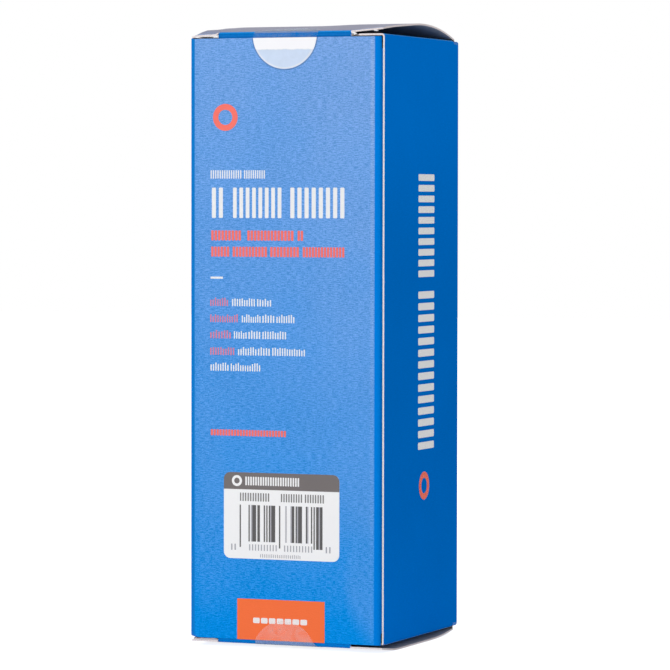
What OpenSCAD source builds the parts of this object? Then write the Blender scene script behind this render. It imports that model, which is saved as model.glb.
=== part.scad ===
// A retail carton of three hollow rubber balls: a straight-tuck folding carton with slit-locked
// lids at both ends, wafer seals, a glued upright seam, and the stack of balls inside.
// Origin at the middle of the footprint, on the surface it stands on. The front faces -Y.

/* [Balls] */
// Outside diameter of one ball
ball_d = 57.15; // [54:0.05:60]
// Rubber wall thickness of one ball
ball_wall = 3.9; // [2.5:0.1:6]
// Radius of the fine groove where the two moulded halves are bonded
seam_groove_r = 0.15; // [0.05:0.05:0.4]

/* [Carton] */
// Thickness of the board
board_t = 0.5; // [0.35:0.05:0.65]
// Clear space between a ball and each wall of the carton
side_play = 1.425; // [0.7:0.025:3]
// Height of the front panel beyond the three balls
height_play = 2.55; // [2.2:0.05:8]
// Inside radius of the upright folds
fold_in_r = 1.3; // [0.4:0.1:1.6]
// Radius to which the lower ends of those folds are rounded
low_corner_r = 2.4; // [1:0.1:3]
// Inside radius of the upright fold at the glued seam
seam_fold_in_r = 1.4; // [0.6:0.1:2]
// Width of the glue flap behind the right panel
glue_flap_w = 14; // [8:0.5:18]
// Distance that the glue flap's ends lie inside the front panel's ends
glue_flap_inset = 3; // [2:0.5:12]
// Slope of the glue flap's ends, in degrees
glue_flap_taper = 15; // [0:1:30]
// Distance of a panel's plain edge below the start of the fold beside it
plain_edge_step = 0.2; // [0.05:0.05:0.5]

/* [Lids] */
// Inside radius of the lid creases at the back panel
lid_crease_in_r = 0.1; // [0.05:0.05:0.5]
// Inside radius of the fold between a lid and its tuck flap
lip_in_r = 0.7; // [0.4:0.1:1.2]
// Distance of a lid's side edges inside the side faces
lid_side_inset = 0.7; // [0.6:0.1:1.6]
// Length over which a lid narrows to its crease
lid_relief_l = 3; // [1:0.1:6]
// Length of each slit, cut inwards along that fold from the lid's side edges
slit_l = 9; // [5:0.1:12]
// Distance of the slits' middle left of the carton's middle
slit_left = 0.8; // [-1:0.1:1]
// Distance of the lid's free corners behind the front face
lid_corner_setback = 0.4; // [0.1:0.1:1.5]
// Height of the top lid's crease above the front panel's edge
top_crease_rise = 0.3; // [0.1:0.1:1.2]
// Rise of the top lid's bow above its crease
top_bow_rise = 4.45; // [3:0.05:6]
// Distance from the front face to the crest of the top lid's bow
top_front_run = 32; // [26:0.5:36]
// Length of the flat stretch at the top lid's crest
top_flat_l = 0.5; // [0.1:0.1:6]
// Radius of the bow in front of the top lid's crest
top_front_r = 82; // [60:1:120]
// Height of the top front fold above the front panel's edge
top_lip_rise = 1.9; // [1.7:0.05:3]
// Depth of the bottom lid's crease below the front panel's edge
bottom_crease_rise = 0.75; // [0.3:0.05:1.2]
// Rise of the bottom lid's bow beyond its crease
bottom_bow_rise = 1.7; // [1.2:0.05:2.4]
// Distance from the front face to the bottom lid's flat stretch
bottom_front_run = 14.5; // [13:0.5:20]
// Length of the flat stretch that the carton stands on
bottom_flat_l = 25; // [15:0.5:27]
// Radius of the bow in front of the bottom lid's flat stretch
bottom_front_r = 60; // [40:1:80]
// Depth of the bottom front fold below the front panel's edge
bottom_lip_rise = 1.4; // [1.2:0.05:1.9]

/* [Tuck flaps] */
// Length of a tuck flap below its fold
tuck_l = 13.2; // [9:0.1:15]
// Radius of a tuck flap's two free corners
tuck_corner_r = 8; // [2:0.5:9]
// Inward lean of a closed tuck flap, in degrees
tuck_lean_angle = 10; // [10:0.5:14]
// Clear space between a tuck flap and the front panel
tuck_gap = 0.3; // [0.2:0.05:0.6]
// Clear space between a tuck flap's side edge and the board beside it
tuck_side_gap = 0.8; // [0.5:0.05:3]
// Distance of a tuck flap's shoulders behind the front panel's edge
shoulder_drop = 0.1; // [0:0.05:1]

/* [Dust flaps] */
// Inside radius of the dust flap folds
dust_fold_in_r = 0.5; // [0.3:0.05:0.6]
// Clear space between a dust flap and the front panel's edge
dust_lift = 0.3; // [0.2:0.05:0.4]
// Depth of the bottom dust flaps inside the level that the top ones have
bottom_dust_sink = 0.7; // [0:0.05:0.8]
// Space between the tips of a pair of dust flaps
dust_tip_gap = 5; // [3:0.5:12]
// Radius of a dust flap's two free corners
dust_corner_r = 3; // [1:0.5:5]
// Space that the tuck flap needs in front of the dust flaps as it swings
tuck_sweep = 1.5; // [1.5:0.05:3]
// Distance of the left dust flaps' front edges behind those of the right ones
left_dust_setback = 3.2; // [0:0.1:5]
// Distance that a dust flap's front edge slopes back towards its tip
dust_front_taper = 1.8; // [0.5:0.1:6]
// Distance of a dust flap's rear edge from the back face, at its fold
dust_rear_root = 4.8; // [4.6:0.1:8]
// Distance of a dust flap's rear edge from the back face, at its tip
dust_rear_tip = 13.4; // [13.2:0.1:18]
// Length of the locking edge that the right top dust flap shows in the slit
lock_edge_l = 7.9; // [3:0.1:8.8]
// Width of that locking edge
lock_edge_w = 0.5; // [0.4:0.05:0.55]

/* [Seals and label] */
// Thickness of a wafer seal
seal_t = 0.1; // [0.05:0.01:0.2]
// Width of the slit between the two halves of a seal
seal_slit = 0.1; // [0.1:0.05:0.3]
// Radius of a wafer seal
seal_r = 10; // [6:0.5:14]
// Distance of the seals' centre left of the middle
seal_left = 0.4; // [0:0.1:3]
// Distance that the top seal reaches down the front panel
top_seal_fall = 9; // [6:0.1:10]
// Distance that the bottom seal reaches up the front panel
bottom_seal_fall = 5.8; // [5:0.1:10]
// Thickness of the stock label
label_t = 0.1; // [0.05:0.01:0.2]
// Width of the stock label
label_w = 36.2; // [20:0.1:50]
// Height of the stock label
label_h = 25; // [12:0.1:40]
// Corner radius of the stock label
label_corner_r = 2; // [0.5:0.1:5]
// Distance of the label's centre left of the middle
label_left = 1.3; // [-3:0.1:3]
// Height of the label's lower edge above the front panel's lower edge
label_rise = 23.5; // [8:0.5:120]

/* [Fits] */
// Clear space between parts that rest on each other at a point
seat_gap = 0.3; // [0.2:0.05:0.4]

/* [Hidden] */

print_blue = "dodgerblue";
deep_blue = "royalblue";
board_white = "whitesmoke";
seal_white = "lavender";
rubber_blue = "navy";

// Facets of one fold, of one bow, of the balls and seals, and of a rounded corner
fold_steps = 6;
bow_steps = 8;
ball_fn = 96;
corner_steps = 6;
// How far a cutting solid runs past what it cuts
overrun = 1;
// How far the arc of a rounded lower corner ends outside the faces that it cuts
arc_margin = 0.05;

ball_count = 3;
ball_r = ball_d / 2;
inner_w = ball_d + 2 * side_play;
width = inner_w + 2 * board_t;
depth = width;
half_w = width / 2;
half_d = depth / 2;
front_h = ball_count * ball_d + height_play;

fold_r = fold_in_r + board_t;
seam_fold_r = seam_fold_in_r + board_t;
crease_r = lid_crease_in_r + board_t;
lip_r = lip_in_r + board_t;
dust_fold_r = dust_fold_in_r + board_t;

// Headings in degrees, counter-clockwise from the first axis of the drawing plane
function heading_of(from, to) = atan2(to[1] - from[1], to[0] - from[0]);
up = heading_of([0, 0], [0, 1]);
left_way = heading_of([0, 0], [-1, 0]);
down = left_way + up;

// A station is a point on the outer face of the board and the heading there. The board's inner
// face lies one thickness to the left of the heading.
function ahead(heading) = [cos(heading), sin(heading)];
function left_of(heading) = [-sin(heading), cos(heading)];
function last(list) = list[len(list) - 1];
function straight(from, length) = [[from[0] + length * ahead(from[1]), from[1]]];
function bend(from, radius, turn, steps) = [
    for (i = [1:steps])
        let (centre = from[0] + radius * left_of(from[1]), heading = from[1] + turn * i / steps)
        [centre - radius * left_of(heading), heading]
];
// Outline of a sheet of the given thickness whose outer face follows the stations
function sheet_outline(stations, thickness) = concat(
    [for (s = stations) s[0]],
    [for (i = [len(stations) - 1:-1:0]) stations[i][0] + thickness * left_of(stations[i][1])]
);

// Outline with each corner rounded. A corner is a point and its radius, counter-clockwise, and a
// radius of zero leaves it sharp.
function turn_at(before, at, after) =
    let (turn = heading_of(at, after) - heading_of(before, at))
    turn > left_way ? turn - 2 * left_way : turn < -left_way ? turn + 2 * left_way : turn;
function rounded_outline(corners) = [
    for (i = [0:len(corners) - 1])
        let (
            before = corners[(i + len(corners) - 1) % len(corners)][0],
            at = corners[i][0],
            after = corners[(i + 1) % len(corners)][0],
            radius = corners[i][1],
            heading = heading_of(before, at),
            turn = turn_at(before, at, after),
            start = [at - radius * tan(turn / 2) * ahead(heading), heading]
        )
        each radius == 0 ? [at] : [for (s = concat([start], bend(start, radius, turn, corner_steps))) s[0]]
];

// A closure's measures: the rises of its crease and bow, the run from the front to the crest, its
// flat, the radius of the bow in front, the rise of the front fold and the fall of the seal
top_closure = [
    top_crease_rise, top_bow_rise, top_front_run, top_flat_l, top_front_r, top_lip_rise,
    top_seal_fall
];
bottom_closure = [
    bottom_crease_rise, bottom_bow_rise, bottom_front_run, bottom_flat_l, bottom_front_r,
    bottom_lip_rise, bottom_seal_fall
];
function crease_rise(c) = c[0];
function bow_rise(c) = c[1];
function front_run(c) = c[2];
function flat_l(c) = c[3];
function front_r(c) = c[4];
function lip_rise(c) = c[5];
function seal_fall(c) = c[6];

// A lid in section, drawn in Y and Z from the front panel's edge outwards
function rear_run(c) = depth - front_run(c) - flat_l(c);
function bow_angle(c) = 2 * atan(bow_rise(c) / rear_run(c));
function crease_turn(c) = up - bow_angle(c);
function crease_reach(c) = crease_r * tan(crease_turn(c) / 2) * cos(bow_angle(c));
function bow_r(c) = (rear_run(c) - crease_reach(c)) / sin(bow_angle(c));
function crease_corner(c) = [half_d, crease_rise(c)];
function crease_start(c) = [
    crease_corner(c) - [0, crease_r * tan(crease_turn(c) / 2)], up
];
function crease_split(c) = last(bend(crease_start(c), crease_r, crease_turn(c) / 2, fold_steps));
function crest_end(c) =
    let (
        fold = last(bend(crease_split(c), crease_r, crease_turn(c) / 2, fold_steps)),
        crest = last(bend(fold, bow_r(c), bow_angle(c), bow_steps))
    )
    last(straight(crest, flat_l(c)));
function crest_height(c) = crest_end(c)[0][1];
// The front fold turns about its centre into an upright that would lie on the tuck flap's face. The
// board runs straight into it from the bow, along the line that touches both arcs.
tuck_face = -half_d + board_t + tuck_gap;
function lip_centre(c) = [tuck_face + lip_r, lip_rise(c) - lip_r];
function lip_heading(c) =
    let (bow_centre = crest_end(c)[0] - [0, front_r(c)], span = norm(lip_centre(c) - bow_centre))
    heading_of(bow_centre, lip_centre(c)) + asin((front_r(c) - lip_r) / span);
function lip_start(c) = [lip_centre(c) - lip_r * left_of(lip_heading(c)), lip_heading(c)];
function rear_path(c) =
    let (
        split = crease_split(c),
        fold = concat([split], bend(split, crease_r, crease_turn(c) / 2, fold_steps)),
        bow = concat(fold, bend(last(fold), bow_r(c), bow_angle(c), bow_steps)),
        flat = concat(bow, straight(last(bow), flat_l(c)))
    )
    concat(flat, bend(last(flat), front_r(c), lip_heading(c) - left_way, fold_steps));
// The seal leaves the fold where a line to the front panel's edge touches it. The lid's share of
// the fold ends there too.
front_edge = [-half_d, 0];
function split_heading(c) =
    let (centre = lip_centre(c))
    heading_of(centre, front_edge) + 2 * left_way - acos(lip_r / norm(front_edge - centre)) + up;
function lip_turn(c) = split_heading(c) - lip_heading(c);
function lip_split(c) = last(bend(lip_start(c), lip_r, lip_turn(c), fold_steps));
function lid_path(c) = concat(
    rear_path(c), [lip_start(c)], bend(lip_start(c), lip_r, lip_turn(c), fold_steps)
);
corner_face = -half_d + lid_corner_setback;
function lid_corner_path(c) =
    let (from = last(rear_path(c)))
    concat(
        rear_path(c), straight(from, (corner_face - from[0][0]) / cos(lip_heading(c)))
    );
function tuck_path(c) =
    let (
        split = lip_split(c),
        fold = concat([split], bend(split, lip_r, down + tuck_lean_angle - split[1], fold_steps))
    )
    concat(fold, straight(last(fold), tuck_l));

// The ends of the front panel
front_bottom = crest_height(bottom_closure);
front_top = front_bottom + front_h;

lid_half_w = half_w - lid_side_inset;
crease_half_w = half_w - fold_r;
left_slit_end = -lid_half_w + slit_l - slit_left;
right_slit_end = lid_half_w - slit_l - slit_left;
tuck_half_w = half_w - 2 * board_t - tuck_side_gap;

// The dust flaps in section, drawn in X and Z for the right side
dust_face = dust_lift + board_t;
dust_fold_start = [[half_w, dust_face - dust_fold_r], up];
dust_fold_angle = left_way - up;
dust_split = last(bend(dust_fold_start, dust_fold_r, dust_fold_angle / 2, fold_steps));
side_edge = dust_face - dust_fold_r - plain_edge_step;
side_low = front_bottom - side_edge + bottom_dust_sink;
side_high = front_top + side_edge;
dust_path = concat(
    [dust_split],
    bend(dust_split, dust_fold_r, dust_fold_angle / 2, fold_steps),
    [[[dust_tip_gap / 2, dust_face], left_way]]
);
// Front edge of the dust flaps, behind the swinging tuck flap
dust_front = tuck_face + tuck_sweep;
left_dust_front = dust_front + left_dust_setback;
dust_rear = half_d - dust_rear_root;
notch_side = tuck_half_w + seat_gap;
notch_front = -half_d + lock_edge_w;

// Balls: the lowest one rests on the two bottom dust flaps
ball_dip = ball_r - sqrt(pow(ball_r, 2) - pow(dust_tip_gap / 2, 2));
stack_base = front_bottom + bottom_dust_sink - dust_lift + seat_gap - ball_dip;
ball_pitch = ball_d + seat_gap;

// A sheet in the Y Z plane, running from one X to another
module sheet_across(stations, from_x, to_x, thickness = board_t) {
    translate([from_x, 0, 0])
        rotate([90, 0, 90])
            linear_extrude(to_x - from_x)
                polygon(sheet_outline(stations, thickness));
}

// A sheet in the X Z plane, running from one Y to another
module sheet_along(stations, from_y, to_y) {
    translate([0, to_y, 0])
        rotate([90, 0, 0])
            linear_extrude(to_y - from_y)
                polygon(sheet_outline(stations, board_t));
}

// An upright sheet in the X Y plane, from one height to another
module upright_sheet(stations, from_z, to_z) {
    translate([0, 0, from_z])
        linear_extrude(to_z - from_z)
            polygon(sheet_outline(stations, board_t));
}

// A flat plate outline in the X Z plane, on the front face and as thick as given
module front_plate(outline, thickness) {
    translate([0, -half_d, 0])
        rotate([90, 0, 0])
            linear_extrude(thickness)
                polygon(outline);
}

// Places a closure drawn from the front panel's edge outwards
module at_top() {
    translate([0, 0, front_top])
        children();
}
module at_bottom() {
    translate([0, 0, front_bottom])
        mirror([0, 0, 1])
            children();
}

// Places the bottom dust flaps and their folds, which lie deeper than the top ones
module at_bottom_dust() {
    at_bottom()
        translate([0, 0, -bottom_dust_sink])
            children();
}

// Upright folds, in plan: each panel owns half of the fold at either end
function plan_fold(start, radius, turn) = concat([start], bend(start, radius, turn, fold_steps));
front_left_split = last(bend([[-half_w, -half_d + fold_r], down], fold_r, up / 2, fold_steps));
back_right_split = last(bend([[half_w, half_d - fold_r], up], fold_r, up / 2, fold_steps));
back_left_split = last(bend([[-half_w + fold_r, half_d], left_way], fold_r, up / 2, fold_steps));
seam_fold_start = [[half_w - board_t - seam_fold_r, -half_d], 2 * left_way];

// Takes off the outer corner at the lower end of the upright fold that stands at the given heading
module low_fold_cut(heading) {
    reach = norm([half_w - fold_r, half_d - fold_r]) + fold_r + arc_margin;
    cut = low_corner_r + overrun;
    rotate([0, 0, heading])
        translate([reach - low_corner_r, 0, front_bottom + low_corner_r - arc_margin])
            rotate([90, 0, 0])
                linear_extrude(4 * low_corner_r, center = true)
                    difference() {
                        translate([0, -cut])
                            square(cut);
                        circle(r = low_corner_r, $fn = ball_fn);
                    }
}
front_left = heading_of([0, 0], [-1, -1]);
back_left = heading_of([0, 0], [-1, 1]);
back_right = heading_of([0, 0], [1, 1]);

module front_panel() {
    path = concat(
        plan_fold(front_left_split, fold_r, up / 2),
        plan_fold(seam_fold_start, seam_fold_r, up / 2)
    );
    color(print_blue)
        difference() {
            upright_sheet(path, front_bottom, front_top);
            low_fold_cut(front_left);
        }
}

module glue_flap() {
    split = last(bend(seam_fold_start, seam_fold_r, up / 2, fold_steps));
    fold = plan_fold(split, seam_fold_r, up / 2);
    path = concat(fold, straight(last(fold), glue_flap_w - seam_fold_r));
    rear = -half_d + glue_flap_w;
    low = front_bottom + glue_flap_inset;
    high = front_top - glue_flap_inset;
    taper = glue_flap_w * tan(glue_flap_taper);
    outline = [
        [-half_d - overrun, low], [rear + overrun, low + taper],
        [rear + overrun, high - taper], [-half_d - overrun, high]
    ];
    color(board_white)
        intersection() {
            upright_sheet(path, low, high);
            rotate([90, 0, 90])
                linear_extrude(half_w)
                    polygon(outline);
        }
}

// Half of a dust flap's fold, standing on a side panel's edge from one Y to another
module side_panel_fold(from_y, to_y) {
    start = [dust_fold_start[0] - [0, overrun], up];
    path = concat(
        [start, dust_fold_start], bend(dust_fold_start, dust_fold_r, dust_fold_angle / 2, fold_steps)
    );
    sheet_along(path, from_y, to_y);
}

module right_panel() {
    half_fold = bend([[half_w, half_d - fold_r], up], fold_r, up / 2, fold_steps);
    path = concat(
        [[[half_w, -half_d], up], [[half_w, half_d - fold_r], up]], half_fold
    );
    color(deep_blue) {
        difference() {
            upright_sheet(path, side_low, side_high);
            low_fold_cut(back_right);
        }
        at_top()
            side_panel_fold(-half_d, dust_rear);
        at_bottom_dust()
            side_panel_fold(-half_d, dust_rear);
    }
}

module left_panel() {
    rear_fold = plan_fold(back_left_split, fold_r, up / 2);
    front_fold = plan_fold([[-half_w, -half_d + fold_r], down], fold_r, up / 2);
    color(deep_blue) {
        difference() {
            upright_sheet(concat(rear_fold, front_fold), side_low, side_high);
            low_fold_cut(front_left);
            low_fold_cut(back_left);
        }
        at_top()
            mirror([1, 0, 0])
                side_panel_fold(left_dust_front, dust_rear);
        at_bottom_dust()
            mirror([1, 0, 0])
                side_panel_fold(left_dust_front, dust_rear);
    }
}

// Half of a lid's crease, standing on the back panel's edge
module back_panel_fold(c) {
    start = [crease_start(c)[0] - [0, 2 * plain_edge_step], up];
    path = concat(
        [start, crease_start(c)],
        bend(crease_start(c), crease_r, crease_turn(c) / 2, fold_steps)
    );
    sheet_across(path, -crease_half_w, crease_half_w);
}

module back_panel() {
    path = concat(
        plan_fold(back_right_split, fold_r, up / 2),
        plan_fold([[-half_w + fold_r, half_d], left_way], fold_r, up / 2)
    );
    low = front_bottom - crease_start(bottom_closure)[0][1] + plain_edge_step;
    high = front_top + crease_start(top_closure)[0][1] - plain_edge_step;
    color(print_blue) {
        difference() {
            upright_sheet(path, low, high);
            low_fold_cut(back_left);
            low_fold_cut(back_right);
        }
        at_top()
            back_panel_fold(top_closure);
        at_bottom()
            back_panel_fold(bottom_closure);
    }
}

// A lid ends in the front fold between its slits, and in a straight corner beside each slit. Seen
// from above, it narrows towards its crease.
module lid(c) {
    crease_line = half_d - crease_r;
    outline = [
        [-lid_half_w, -half_d - overrun], [lid_half_w, -half_d - overrun],
        [lid_half_w, half_d - lid_relief_l], [crease_half_w, crease_line],
        [crease_half_w, half_d + overrun], [-crease_half_w, half_d + overrun],
        [-crease_half_w, crease_line], [-lid_half_w, half_d - lid_relief_l]
    ];
    color(print_blue)
        intersection() {
            union() {
                sheet_across(lid_path(c), left_slit_end, right_slit_end);
                sheet_across(lid_corner_path(c), -lid_half_w, left_slit_end);
                sheet_across(lid_corner_path(c), right_slit_end, lid_half_w);
            }
            translate([0, 0, -overrun])
                linear_extrude(crest_height(c) + 2 * overrun)
                    polygon(outline);
        }
}

module tuck_flap(c) {
    path = tuck_path(c);
    tip = last(path)[0][1];
    top = crest_height(c);
    outline = rounded_outline([
        [[-tuck_half_w, tip], tuck_corner_r], [[tuck_half_w, tip], tuck_corner_r],
        [[tuck_half_w, -shoulder_drop], 0], [[right_slit_end, -shoulder_drop], 0],
        [[right_slit_end, top], 0], [[left_slit_end, top], 0],
        [[left_slit_end, -shoulder_drop], 0], [[-tuck_half_w, -shoulder_drop], 0]
    ]);
    color(print_blue)
        intersection() {
            sheet_across(path, -tuck_half_w, tuck_half_w);
            rotate([90, 0, 0])
                linear_extrude(half_d + overrun)
                    polygon(outline);
        }
}

// Outline of a right-hand dust flap in plan, from its front edge back, with or without the locking
// edge over the front panel
function dust_outline(front, locking) =
    let (
        outside = half_w + overrun,
        tip = dust_tip_gap / 2,
        tip_front = [[tip, front + dust_front_taper], dust_corner_r],
        tip_rear = [[tip, half_d - dust_rear_tip], dust_corner_r],
        root_rear = [[outside, dust_rear], 0],
        edge = [
            [[notch_side, front], 0], [[notch_side, notch_front], 0],
            [[half_w - lock_edge_l, notch_front], 0], [[half_w - lock_edge_l, -half_d], 0],
            [[outside, -half_d], 0]
        ]
    )
    concat(
        [root_rear, tip_rear, tip_front],
        locking ? edge : [[[outside, front], 0]]
    );

module dust_flap(front, locking) {
    color(deep_blue)
        intersection() {
            sheet_along(dust_path, -half_d, half_d);
            translate([0, 0, side_edge - overrun])
                linear_extrude(dust_fold_r + 2 * overrun)
                    polygon(rounded_outline(dust_outline(front, locking)));
        }
}

// The part of a wafer seal that lies on a lid
module seal_lid_half(c) {
    // Distance along the seal from the panel's edge to the lid, less the same in plan
    lip_allowance = lip_r * lip_turn(c) * PI / left_way + norm(front_edge - lip_split(c)[0])
        - (lip_start(c)[0][0] + half_d);
    centre_y = -half_d + seal_r - seal_fall(c) - lip_allowance;
    color(seal_white)
        intersection() {
            sheet_across(lid_path(c), -seal_left - seal_r, seal_r - seal_left, -seal_t);
            translate([-seal_left, centre_y, 0])
                cylinder(h = crest_height(c) + overrun, r = seal_r, $fn = ball_fn);
        }
}

// The part of a wafer seal that bridges to the front panel and hangs down it
module seal_front_half(c) {
    split = last(straight(lip_split(c), seal_slit));
    bridge_out = -seal_t * left_of(split[1]);
    kink = (split[1] + down) / 2;
    kink_out = -seal_t / cos((down - split[1]) / 2) * left_of(kink);
    fall = [-half_d, -seal_fall(c) - overrun];
    outline = [
        split[0], front_edge, fall, fall - [seal_t, 0], front_edge + kink_out,
        split[0] + bridge_out
    ];
    color(seal_white)
        intersection() {
            rotate([90, 0, 90])
                linear_extrude(2 * (seal_r + seal_left), center = true)
                    polygon(outline);
            translate([-seal_left, 0, seal_r - seal_fall(c)])
                rotate([90, 0, 0])
                    cylinder(h = half_d + overrun, r = seal_r, $fn = ball_fn);
        }
}

module stock_label() {
    left = -label_left - label_w / 2;
    right = left + label_w;
    low = front_bottom + label_rise;
    high = low + label_h;
    color(board_white)
        front_plate(
            rounded_outline([
                [[left, low], label_corner_r], [[right, low], label_corner_r],
                [[right, high], label_corner_r], [[left, high], label_corner_r]
            ]),
            label_t
        );
}

// One moulded half of a hollow ball, its dome upwards, with half of the bond line's groove
module ball_half() {
    color(rubber_blue)
        difference() {
            intersection() {
                sphere(r = ball_r, $fn = ball_fn);
                translate([-ball_r - overrun, -ball_r - overrun, 0])
                    cube([2 * (ball_r + overrun), 2 * (ball_r + overrun), ball_r + overrun]);
            }
            sphere(r = ball_r - ball_wall, $fn = ball_fn);
            rotate_extrude($fn = ball_fn)
                translate([ball_r, 0])
                    circle(r = seam_groove_r, $fn = bow_steps * 2);
        }
}
module ball_top_half(place) {
    translate([0, 0, stack_base + ball_r + place * ball_pitch])
        ball_half();
}
module ball_bottom_half(place) {
    translate([0, 0, stack_base + ball_r + place * ball_pitch])
        mirror([0, 0, 1])
            ball_half();
}

module top_lid() {
    at_top() lid(top_closure);
}
module top_tuck_flap() {
    at_top() tuck_flap(top_closure);
}
module top_dust_flap_left() {
    at_top() mirror([1, 0, 0]) dust_flap(left_dust_front, false);
}
module top_dust_flap_right() {
    at_top() dust_flap(dust_front, true);
}
module top_seal_lid_half() {
    at_top() seal_lid_half(top_closure);
}
module top_seal_front_half() {
    at_top() seal_front_half(top_closure);
}
module bottom_lid() {
    at_bottom() lid(bottom_closure);
}
module bottom_tuck_flap() {
    at_bottom() tuck_flap(bottom_closure);
}
module bottom_dust_flap_left() {
    at_bottom_dust() mirror([1, 0, 0]) dust_flap(left_dust_front, false);
}
module bottom_dust_flap_right() {
    at_bottom_dust() dust_flap(dust_front, false);
}
module bottom_seal_lid_half() {
    at_bottom() seal_lid_half(bottom_closure);
}
module bottom_seal_front_half() {
    at_bottom() seal_front_half(bottom_closure);
}
module lower_ball_bottom_half() {
    ball_bottom_half(0);
}
module lower_ball_top_half() {
    ball_top_half(0);
}
module middle_ball_bottom_half() {
    ball_bottom_half(1);
}
module middle_ball_top_half() {
    ball_top_half(1);
}
module upper_ball_bottom_half() {
    ball_bottom_half(2);
}
module upper_ball_top_half() {
    ball_top_half(2);
}

front_panel();
left_panel();
back_panel();
right_panel();
glue_flap();
stock_label();
top_lid();
top_tuck_flap();
top_dust_flap_left();
top_dust_flap_right();
top_seal_lid_half();
top_seal_front_half();
bottom_lid();
bottom_tuck_flap();
bottom_dust_flap_left();
bottom_dust_flap_right();
bottom_seal_lid_half();
bottom_seal_front_half();
lower_ball_bottom_half();
lower_ball_top_half();
middle_ball_bottom_half();
middle_ball_top_half();
upper_ball_bottom_half();
upper_ball_top_half();
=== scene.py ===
"""Dresses a carton of three rubber balls: printed board, seals, stock label, balls and a studio."""

import logging
import math
from collections.abc import Iterable, Mapping, Sequence
from dataclasses import dataclass
from enum import Enum

import bmesh
import bpy
from mathutils import Matrix, Vector


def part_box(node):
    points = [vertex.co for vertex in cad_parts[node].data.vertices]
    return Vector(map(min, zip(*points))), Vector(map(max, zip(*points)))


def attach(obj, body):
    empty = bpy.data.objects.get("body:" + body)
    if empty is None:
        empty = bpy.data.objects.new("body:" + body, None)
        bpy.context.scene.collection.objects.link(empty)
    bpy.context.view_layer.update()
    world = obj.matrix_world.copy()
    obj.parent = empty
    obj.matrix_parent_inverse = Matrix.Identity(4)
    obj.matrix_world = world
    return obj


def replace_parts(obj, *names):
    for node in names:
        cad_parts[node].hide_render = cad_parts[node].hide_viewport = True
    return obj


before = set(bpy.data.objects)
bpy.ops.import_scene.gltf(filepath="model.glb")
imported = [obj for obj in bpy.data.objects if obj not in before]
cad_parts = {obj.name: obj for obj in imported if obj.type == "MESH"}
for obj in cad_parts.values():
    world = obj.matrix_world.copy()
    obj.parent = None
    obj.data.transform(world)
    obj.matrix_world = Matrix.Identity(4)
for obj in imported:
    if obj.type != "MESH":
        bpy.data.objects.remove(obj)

log = logging.getLogger("carton")

MM = 0.001
FILM = 0.02 * MM
WELD = 1e-7
RIGHT_ANGLE = math.pi / 2
WHITE = 1.0
Colour = tuple[float, float, float]
Point = tuple[float, float, float]
Spot = tuple[float, float]
Span = tuple[float, float]


def grey(level: float) -> Colour:
    """Returns a neutral colour of the given linear level."""
    return (level, level, level)


def scaled(colour: Colour, share: float) -> Colour:
    """Returns a share of a colour."""
    return tuple(part * share for part in colour)


def clamp(value: float) -> float:
    """Returns the value, held between 0 and 1."""
    return min(1.0, max(0.0, value))


def ease(value: float, start: float, end: float) -> float:
    """Returns a smooth step from 0 at the start to 1 at the end."""
    share = clamp((value - start) / (end - start))
    return share * share * (3 - 2 * share)


def add_object(name: str, data: bpy.types.ID) -> bpy.types.Object:
    """Adds an object to the scene and returns it.

    Args:
        name: its name.
        data: its mesh, camera or lamp data.

    Returns:
        The object.
    """
    made = bpy.data.objects.new(name, data)
    bpy.context.scene.collection.objects.link(made)
    return made


def add_piece(name: str, mesh: bpy.types.Mesh, body: str) -> bpy.types.Object:
    """Adds a piece that rides on a body of the frame, and returns it.

    Args:
        name: the piece's name.
        mesh: its mesh, in place.
        body: the body that it rides on.

    Returns:
        The piece.
    """
    made = add_object(name, mesh)
    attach(made, body)
    log.info("%s: %d faces on %s", name, len(mesh.polygons), body)
    return made


def mesh_of(
    work: bmesh.types.BMesh, name: str, finish: bpy.types.Material | None = None
) -> bpy.types.Mesh:
    """Ends the work on a mesh.

    Args:
        work: the work, which is freed.
        name: the mesh's name.
        finish: the one material of all its faces, if it gets one here.

    Returns:
        The mesh.
    """
    mesh = bpy.data.meshes.new(name)
    for face in work.faces:
        face.material_index = 0
    work.to_mesh(mesh)
    work.free()
    if finish:
        mesh.materials.clear()
        mesh.materials.append(finish)
    return mesh


class Side(Enum):
    """The way that a sheet of board turns its printed face."""

    FRONT = (0.0, -1.0, 0.0)
    BACK = (0.0, 1.0, 0.0)
    LEFT = (-1.0, 0.0, 0.0)
    RIGHT = (1.0, 0.0, 0.0)
    UP = (0.0, 0.0, 1.0)
    DOWN = (0.0, 0.0, -1.0)
    FRONT_AND_UP = (0.0, -0.8, 0.6)
    FRONT_AND_DOWN = (0.0, -0.8, -0.6)
    LEFT_AND_FRONT = (-0.7071, -0.7071, 0.0)
    LEFT_AND_BACK = (-0.7071, 0.7071, 0.0)
    RIGHT_AND_BACK = (0.7071, 0.7071, 0.0)


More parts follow.
